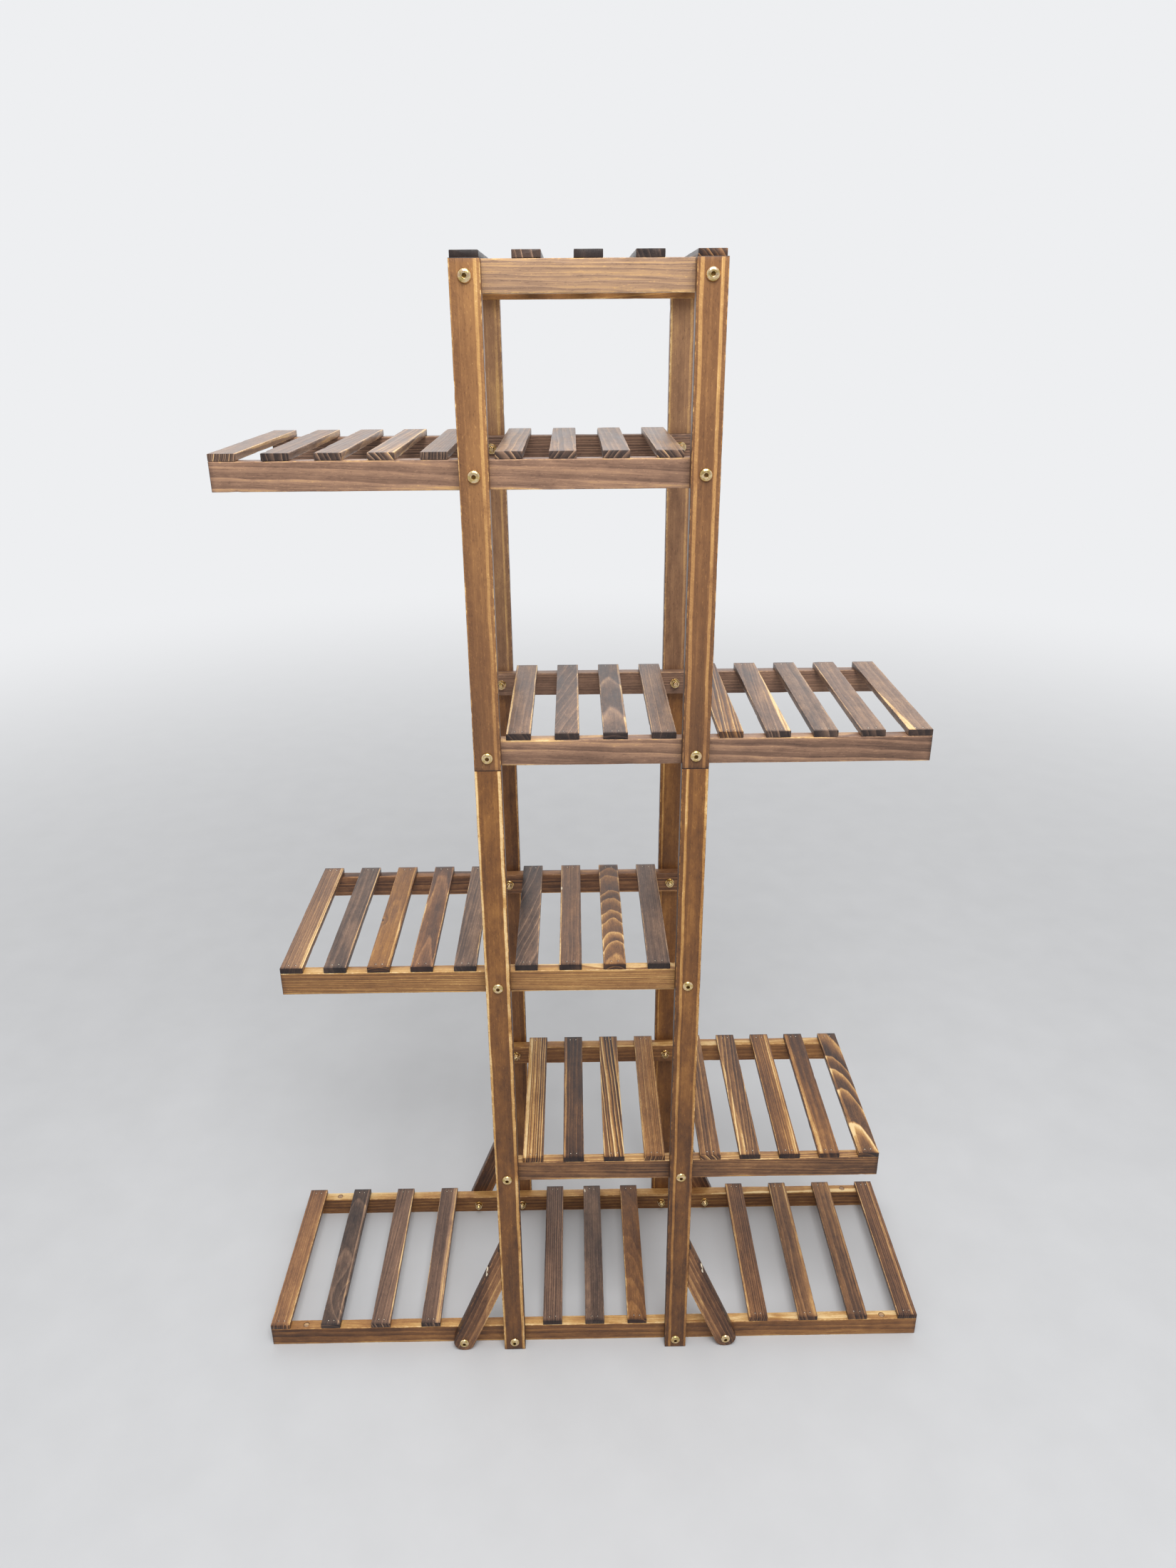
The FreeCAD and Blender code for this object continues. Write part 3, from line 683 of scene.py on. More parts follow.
    def brad_shade(self) -> Socket:
        """Darken the wood round each brad.

        Returns:
            How much darker the wood is, from 0 away from the brads: painted shade round each brad's sunk head.
        """
        end_inset, half_pitch = self.wood.brads
        aside = self.less(self.math("ABSOLUTE", self.across), half_pitch)
        inward = self.less(self.from_end, end_inset)
        return self.times(self.fall(self.reach(aside, inward), 1.0, 2.2), 0.16)


@dataclass(frozen=True)
class ZincFinish:
    """Steel with a thin yellow zinc plate.

    Attributes:
        name: Name of the material.
        tints: The colours that the plate runs through.
        roughness: Roughness on average.
    """

    name: str
    tints: tuple[Colour, ...]
    roughness: float

    def material(self) -> bpy.types.Material:
        """Wire the finish.

        Returns:
            The plated steel.
        """
        sketch = MaterialSketch(self.name)
        place = sketch.node("TexCoord", {}).outputs["Object"]
        cloud = sketch.node("TexNoise", {"Vector": place, "Scale": 260.0, "Detail": 3.0}).outputs["Fac"]
        speck = sketch.node("TexNoise", {"Vector": place, "Scale": 1900.0, "Detail": 2.0}).outputs["Fac"]
        last = len(self.tints) - 1
        colour = sketch.ramp(cloud, [(0.32 + 0.36 * k / last, tint) for k, tint in enumerate(self.tints)])
        # The faces in the socket are painted darker, as painted shade of the recess, and are made rougher.
        recess, _, _ = sketch.stored("recess")
        colour = sketch.tinted(recess, colour, paint(132, 114, 88))
        rough = sketch.total(sketch.line(speck, 0.22, self.roughness - 0.11), sketch.times(recess, 0.3))
        bump = sketch.node("Bump", {"Strength": 0.2, "Distance": 0.02 * MM, "Height": speck})
        return sketch.finish(Base_Color=colour, Metallic=1.0, Roughness=rough, Normal=bump.outputs[0])


@dataclass(frozen=True)
class FloorFinish:
    """Plain pale floor that goes over into the background away from the stand.

    Attributes:
        name: Name of the material.
        near: Colour round the stand.
        background: Colour of the background.
        near_radius: Where it starts to go over, in metres.
        far_radius: Where only the background is left, in metres.
    """

    name: str
    near: Colour
    background: Colour
    near_radius: float
    far_radius: float

    def material(self) -> bpy.types.Material:
        """Wire the finish.

        Returns:
            The floor's material.
        """
        sketch = MaterialSketch(self.name)
        place = sketch.node("TexCoord", {}).outputs["Object"]
        away = sketch.node("VectorMath", {0: place}, operation="LENGTH").outputs["Value"]
        share = sketch.step(away, self.near_radius, self.far_radius)
        cloud = sketch.node("TexNoise", {"Vector": place, "Scale": 11.0, "Detail": 5.0}).outputs["Fac"]
        tint = sketch.line(cloud, 0.10, 0.95)
        grey = sketch.node("Mix", {0: 1.0, 6: self.near, 7: tint}, data_type="RGBA", blend_type="MULTIPLY").outputs[2]
        colour = sketch.node("Mix", {0: share, 6: grey, 7: (0.0, 0.0, 0.0, 1.0)}, data_type="RGBA").outputs[2]
        return sketch.finish(
            Base_Color=colour,
            Roughness=1.0,
            Specular_IOR_Level=0.0,
            Emission_Color=self.background,
            Emission_Strength=share,
        )


# Each finish's side shade is painted shade on the narrow sides of its boards; the rail finish's is below zero and
# paints light there.
POST_WOOD = WoodFinish(
    "post_wood", relief=0.16, worn=0.30, grain=0.26, flecks=0.10, scratches=0.10, end_char=0.05, side_shade=0.14
)
RAIL_WOOD = WoodFinish("rail_wood", worn=0.16, grain=0.7, flecks=0.09, side_shade=-0.04)
BRACE_WOOD = WoodFinish("brace_wood", worn=0.28, grain=0.7, scratches=0.08, end_char=0.0)
DOWEL_WOOD = WoodFinish("dowel_wood", gloss=0.60, worn=0.0, flecks=0.03, end_char=0.0)
PLUG_WOOD = WoodFinish("plug_wood", worn=0.0, flecks=0.2)
YELLOW_ZINC = ZincFinish(
    "yellow_zinc", (paint(184, 166, 108), paint(212, 180, 120), paint(230, 208, 166), paint(220, 182, 146)), 0.20
)
BRAD_STEEL = ZincFinish("brad_steel", (paint(190, 170, 146), paint(222, 208, 188)), 0.46)
BACKGROUND = paint(238, 239, 241)


# Boards


def compass(quarters: float) -> np.ndarray:
    """Direction that lies so many quarter turns round from the first axis."""
    return np.array((math.cos(quarters * math.pi / 2), math.sin(quarters * math.pi / 2)))


@dataclass(frozen=True)
class Nick:
    """A dent in one arris of a board.

    Attributes:
        along: Place along the board.
        corner: Which of the four arrises.
        reach: Half its length.
        deep: Its depth.
    """

    along: float
    corner: int
    reach: float
    deep: float


@dataclass
class Board:
    """One straight piece of wood, about its own centre.

    Attributes:
        centre: Its centre, in metres.
        along: Direction of its length.
        across: Direction of its width.
        length: Its length.
        width: Its width.
        thickness: Its thickness.
        look: Its appearance.
        seed: Number that its random draws start from.
        arris: Radius of its long edges.
        nick_count: How many dents its arrises have.
        station: Spacing of its cross-sections.
        corner_steps: Flats round each long edge.
        face_steps: Spans across each broad face.
        side_steps: Spans across each narrow side.
        end_ease: How far its end edges are worn back.
    """

    centre: Vector
    along: Vector
    across: Vector
    length: float
    width: float
    thickness: float
    look: Look
    seed: int
    arris: float = 0.9
    nick_count: int = 3
    station: float = 5.0
    corner_steps: int = 3
    face_steps: int = 4
    side_steps: int = 2
    end_ease: float = 0.45

    @property
    def outward(self) -> Vector:
        """Direction of its thickness."""
        return self.along.cross(self.across)

    def loop(self, radius: np.ndarray) -> tuple[np.ndarray, np.ndarray, np.ndarray]:
        """Lay out the cross-section's points.

        Args:
            radius: Arris radius at each station.

        Returns:
            Places of the points, their outward directions, and how much of each corner they are.
        """
        half = np.array((self.width / 2, self.thickness / 2))
        places, normals, corners = [], [], []
        for quarter in range(4):
            centre, following = (np.sign(compass(quarter + k)) * (half - radius[:, None]) for k in (0.5, 1.5))
            for step in range(self.corner_steps + 1):
                normal = compass(quarter + step / self.corner_steps)
                places.append(centre + radius[:, None] * normal)
                normals.append(normal)
                corners.append(np.eye(4)[quarter])
            flat = compass(quarter + 1)
            start, end = centre + radius[:, None] * flat, following + radius[:, None] * flat
            count = self.side_steps if quarter % 2 else self.face_steps
            for step in range(1, count):
                places.append(start + (end - start) * step / count)
                normals.append(flat)
                corners.append(np.zeros(4))
        return np.stack(places, axis=1), np.array(normals), np.array(corners)

    def nicks(self, draw: np.random.Generator) -> list[Nick]:
        """Draw the dents of the arrises.

        Args:
            draw: Where chance comes from.

        Returns:
            The dents.
        """
        half = self.length / 2
        return [
            Nick(draw.uniform(-half, half), int(draw.integers(4)), draw.uniform(2.0, 6.0), draw.uniform(0.15, 0.55))
            for _ in range(self.nick_count)
        ]

    def shell(self) -> Shell:
        """Build the board's closed surface.

        Returns:
            Points in metres, and faces.
        """
        draw = np.random.default_rng(self.seed)
        half = self.length / 2
        count = max(4, round((self.length - 2 * self.end_ease) / self.station))
        inner = np.linspace(-half + self.end_ease, half - self.end_ease, count + 1)
        stations = np.concatenate(([-half, -half + self.end_ease * 0.3], inner, [half - self.end_ease * 0.3, half]))
        inset = np.zeros(len(stations))
        inset[[0, -1]] = self.end_ease
        inset[[1, -2]] = self.end_ease * 0.3
        phases = draw.uniform(0, 2 * math.pi, 8)
        radius = self.arris * (
            1 + 0.25 * np.sin(stations / 31 + phases[0]) + 0.2 * np.sin(stations / 11.3 + phases[1])
        )
        places, normals, corners = self.loop(radius)
        sway = 0.05 * (2 + np.sin(stations / 23 + phases[2]) + np.sin(stations / 9.1 + phases[3]))
        ripple = 0.03 * (1 + np.sin(stations[:, None] / 7 + 1.7 * np.arange(places.shape[1])[None, :] + phases[4]))
        depth = inset[:, None] + sway[:, None] * 0.5 + ripple
        for nick in self.nicks(draw):
            near = np.exp(-(((stations - nick.along) / nick.reach) ** 2))
            depth += nick.deep * near[:, None] * corners[:, nick.corner][None, :]
        section = places - normals[None, :, :] * depth[:, :, None]
        axes = np.array([self.across, self.outward, self.along])
        offsets = np.concatenate(
            (section, np.broadcast_to(stations[:, None, None], (*section.shape[:2], 1))), axis=2
        )
        points = np.array(self.centre) + offsets.reshape(-1, 3) @ axes * MM
        ring = section.shape[1]
        faces = [
            (row * ring + k, row * ring + (k + 1) % ring, (row + 1) * ring + (k + 1) % ring, (row + 1) * ring + k)
            for row in range(len(stations) - 1)
            for k in range(ring)
        ]
        last = (len(stations) - 1) * ring
        faces.append(tuple(reversed(range(ring))))
        faces.append(tuple(last + k for k in range(ring)))
        return points, faces

    def numbers(self, points: np.ndarray) -> dict[str, np.ndarray]:
        """Work out what the wood's finish reads at each point.

        Args:
            points: Points in metres.

        Returns:
            Three numbers at each point, by name.
        """
        draw = np.random.default_rng(self.seed + FIGURE_SEED_STEP)
        look, scorch, log = self.look, self.look.tone.value, self.look.cut.value
        axes = np.array([self.along, self.across, self.outward]).T
        board = (points - np.array(self.centre)) @ axes / MM
        run, side, depth = board.T
        flip = -1 if look.turned else 1
        drift = draw.uniform(-0.12, 0.12) * log.ring
        log_side = side - log.pith_across * flip + log.slope_across * run * flip + drift
        log_depth = depth - log.pith_depth + log.slope_depth * run + draw.uniform(-3, 3)
        constant = {
            "half": (self.length / 2, self.width / 2, self.thickness / 2),
            "tone": (scorch.level + look.lift, scorch.contrast * look.bold, scorch.patches),
            "hue": (scorch.redness, scorch.greyness, look.stripes),
            "ring": (log.ring * draw.uniform(0.9, 1.12), log.waviness, log.sharpness),
            "pale": (*look.left, look.glow),
            "rim": (*look.right, draw.uniform(0, 9)),
            "shade": (look.lean, look.fade, look.belly),
            "flaw": look.flaw,
            "wedge": (look.taper, look.side, 0.0),
        }
        values = {name: np.tile(numbers, (len(points), 1)) for name, numbers in constant.items()}
        values["board"] = board
        values["log"] = np.stack((run, log_side, log_depth), axis=1)
        return values


@dataclass(frozen=True)
class Bore:
    """A drilled hole.

    Attributes:
        start: Where its axis starts, in metres.
        direction: Where it points.
        length: Its length.
        radius: Its radius.
    """

    start: Vector
    direction: Vector
    length: float
    radius: float


def new_piece(name: str, points: np.ndarray, faces: Sequence[tuple[int, ...]]) -> bpy.types.Object:
    """Make an object of points and faces.

    Args:
        name: Name of the piece.
        points: Points in metres.
        faces: Corners of each face.

    Returns:
        The object, with no material and flat shading.
    """
    mesh = bpy.data.meshes.new(name)
    mesh.from_pydata([tuple(point) for point in points], [], list(faces))
    mesh.update()
    piece = bpy.data.objects.new(name, mesh)
    bpy.context.scene.collection.objects.link(piece)
    return piece


def smooth(piece: bpy.types.Object, angle: float = 38.0) -> None:
    """Shade a piece smooth, apart from edges sharper than an angle in degrees."""
    piece.data.shade_smooth()
    piece.data.set_sharp_from_angle(angle=math.radians(angle))


def gather(shells: Sequence[Shell]) -> Shell:
    """Put several closed surfaces into one.

    Args:
        shells: Points and faces of each.

    Returns:
        All points, and all faces with their corners renumbered.
    """
    points, faces, first = [], [], 0
    for some_points, some_faces in shells:
        points.append(some_points)
        faces += [tuple(first + corner for corner in face) for face in some_faces]
        first += len(some_points)
    return np.concatenate(points), faces


def turned(rows: Sequence[tuple[float, Row]], segments: int) -> Shell:
    """Turn a profile round an axis, with a radius that may change round it.

    Args:
        rows: Height and radius, or radii round the axis, of each row; a zero radius closes the end.
        segments: Count of points round the axis.

    Returns:
        Points in millimetres with the axis along the third coordinate, and faces.
    """
    turns = np.arange(segments) * 2 * math.pi / segments
    points, rings = [], []
    for height, radius in rows:
        first = sum(len(some) for some in points)
        if np.ndim(radius) == 0 and radius == 0:
            points.append(np.array([(0.0, 0.0, height)]))
            rings.append([first] * segments)
        else:
            spread = np.broadcast_to(radius, (segments,))
            heights = np.full(segments, height)
            points.append(np.stack((spread * np.cos(turns), spread * np.sin(turns), heights), axis=1))
            rings.append(list(range(first, first + segments)))
    faces = []
    for low, high in zip(rings, rings[1:]):
        for k in range(segments):
            following = (k + 1) % segments
            corners = (low[k], low[following], high[following], high[k])
            faces.append(tuple(dict.fromkeys(corners)))
    return np.concatenate(points), faces


def flipped(shell: Shell) -> Shell:
    """The same surface with its inside out."""
    points, faces = shell
    return points, [tuple(reversed(face)) for face in faces]


def stood(shell: Shell, spot: Vector, axis: Vector, spin: float = 0.0) -> Shell:
    """Stand a turned shape at a spot.

    Args:
        shell: Points in millimetres and faces, about the third axis.
        spot: Where its origin goes, in metres.
        axis: Where its third axis points.
        spin: Turn about its own axis, in degrees.

    Returns:
        Points in metres, and the same faces.
    """
    points, faces = shell
    turn = axis.to_track_quat("Z", "Y").to_matrix() @ Matrix.Rotation(math.radians(spin), 3, "Z")
    return np.array(spot) + points @ np.array(turn).T * MM, faces


def bored(piece: bpy.types.Object, bores: Sequence[Bore], segments: int = 32) -> None:
    """Drill holes in a piece.

    Args:
        piece: The piece, whose mesh is replaced.
        bores: The holes.
        segments: Count of flats round a hole.
    """
    shells = []
    for bore in bores:
        rows = ((0.0, 0.0), (0.0, bore.radius), (bore.length, bore.radius), (bore.length, 0.0))
        shells.append(stood(turned(rows, segments), bore.start, bore.direction))
    cutter = new_piece(piece.name + "_cutter", *gather(shells))
    modifier = piece.modifiers.new("bores", "BOOLEAN")
    modifier.operation = "DIFFERENCE"
    modifier.solver = "EXACT"
    modifier.object = cutter
    graph = bpy.context.evaluated_depsgraph_get()
    drilled = bpy.data.meshes.new_from_object(piece.evaluated_get(graph))
    piece.modifiers.clear()
    piece.data = drilled
    drilled.name = piece.name
    bpy.data.objects.remove(cutter)


def mark(piece: bpy.types.Object, boards: Sequence[Board], counts: Sequence[int]) -> None:
    """Store at a piece's points what its wood finish reads.

    Args:
        piece: A piece made of one or more boards.
        boards: Its boards in the order of its points.
        counts: How many points each board has.
    """
    points = np.zeros(len(piece.data.vertices) * 3)
    piece.data.vertices.foreach_get("co", points)
    points = points.reshape(-1, 3)
    gathered: dict[str, list[np.ndarray]] = {}
    first = 0
    for board, count in zip(boards, counts):
        for name, values in board.numbers(points[first:first + count]).items():
            gathered.setdefault(name, []).append(values)
        first += count
    for name, values in gathered.items():
        layer = piece.data.attributes.new(name, "FLOAT_VECTOR", "POINT")
        layer.data.foreach_set("vector", np.concatenate(values).astype(np.float32).ravel())


def settle(piece: bpy.types.Object, material: bpy.types.Material, nodes: Sequence[str]) -> None:
    """Give a piece its material and its place in the stand.

    Args:
        piece: The finished piece.
        material: Its material.
        nodes: The CAD nodes that it stands for.
    """
    piece.data.materials.clear()
    piece.data.materials.append(material)
    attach(piece, BODY)
    if nodes:
        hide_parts(*nodes)
    LOG.info("%s: %d faces", piece.name, len(piece.data.polygons))


def wooden(name: str, boards: Sequence[Board], bores: Sequence[Bore]) -> bpy.types.Object:
    """Make one piece of one or more boards, drilled where it has bores.

    Args:
        name: Name of the piece.
        boards: Its boards.
        bores: Its holes; only a piece of one board has any.

    Returns:
        The piece, with its finish's numbers stored.
    """
    shells = [board.shell() for board in boards]
    piece = new_piece(name, *gather(shells))
    counts = [len(points) for points, _ in shells]
    if bores:
        bored(piece, bores)
        counts = [len(piece.data.vertices)]
    mark(piece, boards, counts)
    smooth(piece)
    return piece


# Looks of the posts. Their fades, all lighter towards the top, and the paler tones of the upper posts are partly
# painted light for the ceiling light's fall towards the floor, and partly the wood's own tone.
POST_LOOKS = {
    "front_left_lower": Look(
        Tone.AMBER, Cut.LINED, lift=-0.01, left=(0.0, 3.6), right=(1.4, 5.2), glow=0.50, fade=0.07
    ),
    "front_right_lower": Look(
        Tone.AMBER, Cut.LINED, lift=-0.03, left=(5.2, 8.8), right=(0.8, 4.0), glow=0.36, fade=0.06, belly=0.04
    ),
    "front_left_upper": Look(
        Tone.SIENNA, Cut.LINED, lift=-0.02, left=(0.0, 1.6), right=(4.0, 7.4), glow=0.19, lean=0.04, fade=0.05,
        turned=True,
    ),
    "front_right_upper": Look(
        Tone.SIENNA, Cut.LINED, lift=-0.07, left=(3.2, 7.4), right=(4.6, 8.2), glow=0.28, fade=0.06
    ),
    "back_left_lower": Look(Tone.CHESTNUT, Cut.LINED, bold=0.6, right=(0.4, 2.8), glow=0.30),
    "back_right_lower": Look(Tone.AMBER, Cut.LINED, lift=0.01, left=(3.4, 6.0), glow=0.28, turned=True),
    "back_left_upper": Look(
        Tone.UMBER, Cut.LINED, lift=0.18, bold=0.6, left=(1.0, 3.0), right=(5.0, 8.2), glow=0.16, fade=0.06
    ),
    "back_right_upper": Look(
        Tone.UMBER, Cut.LINED, lift=0.14, bold=0.6, left=(1.0, 3.0), right=(4.0, 7.0), glow=0.18, fade=0.07
    ),
}

# Looks of the rails from the bottom up, the front one of each tier first
RAIL_LOOKS = (
    # Tier 1
    # The large side shares of the two bottom rails, against the rail finish's side shade below zero, paint light onto
    # their top and bottom faces.
    Look(
        Tone.CHESTNUT, Cut.SOFT, lift=-0.01, bold=0.55, left=(0.0, 4.6), right=(0.0, 1.6), glow=0.12, lean=-0.035,
        fade=0.03, belly=-0.02, side=3.0,
    ),
    Look(Tone.CHESTNUT, Cut.BROAD, lift=0.04, left=(0.0, 2.0), right=(0.0, 3.4), glow=0.16, side=2.9),
    # Tier 2
    Look(
        Tone.BROWN, Cut.WAVED, lift=0.01, bold=0.7, left=(0.0, 3.2), right=(0.0, 1.0), glow=0.18, lean=0.02, fade=-0.04
    ),
    Look(Tone.CHESTNUT, Cut.BROAD, lift=0.06, bold=0.6, left=(0.0, 1.6), right=(0.0, 2.4), glow=0.16, lean=0.04),
    # Tier 3
    Look(Tone.PINSTRIPED, Cut.PINLINED, lift=-0.03, left=(0.0, 1.0), right=(0.0, 1.2), glow=0.14, fade=0.05),
    Look(Tone.RUSSET, Cut.BROAD, lift=0.04, left=(0.0, 2.4), glow=0.16, lean=-0.03),
    # Tier 4
    Look(
        Tone.MAUVE, Cut.DRIFTING, lift=-0.07, bold=1.1, left=(0.0, 1.2), right=(0.0, 2.4), glow=0.12, fade=-0.07,
        belly=-0.03, side=-0.6,
    ),
    Look(Tone.MAUVE, Cut.STRAIGHT, lift=-0.11, bold=0.8, right=(0.0, 1.0), glow=0.10, side=0.0),
    # Tier 5
    Look(Tone.MAUVE, Cut.DRIFTING, lift=-0.035, bold=0.8, left=(0.0, 4.4), right=(0.0, 2.0), glow=0.09, side=-1.6),
    Look(Tone.MAUVE, Cut.STRAIGHT, lift=-0.13, bold=1.6, side=0.0),
    # Tier 6
    Look(Tone.HONEY, Cut.WAVED, left=(0.0, 3.0), right=(4.0, 5.6), glow=0.08),
    Look(Tone.GOLDEN, Cut.LONG_ARCHED, lift=0.06, left=(0.0, 1.0), right=(0.0, 1.0), glow=0.15),
)

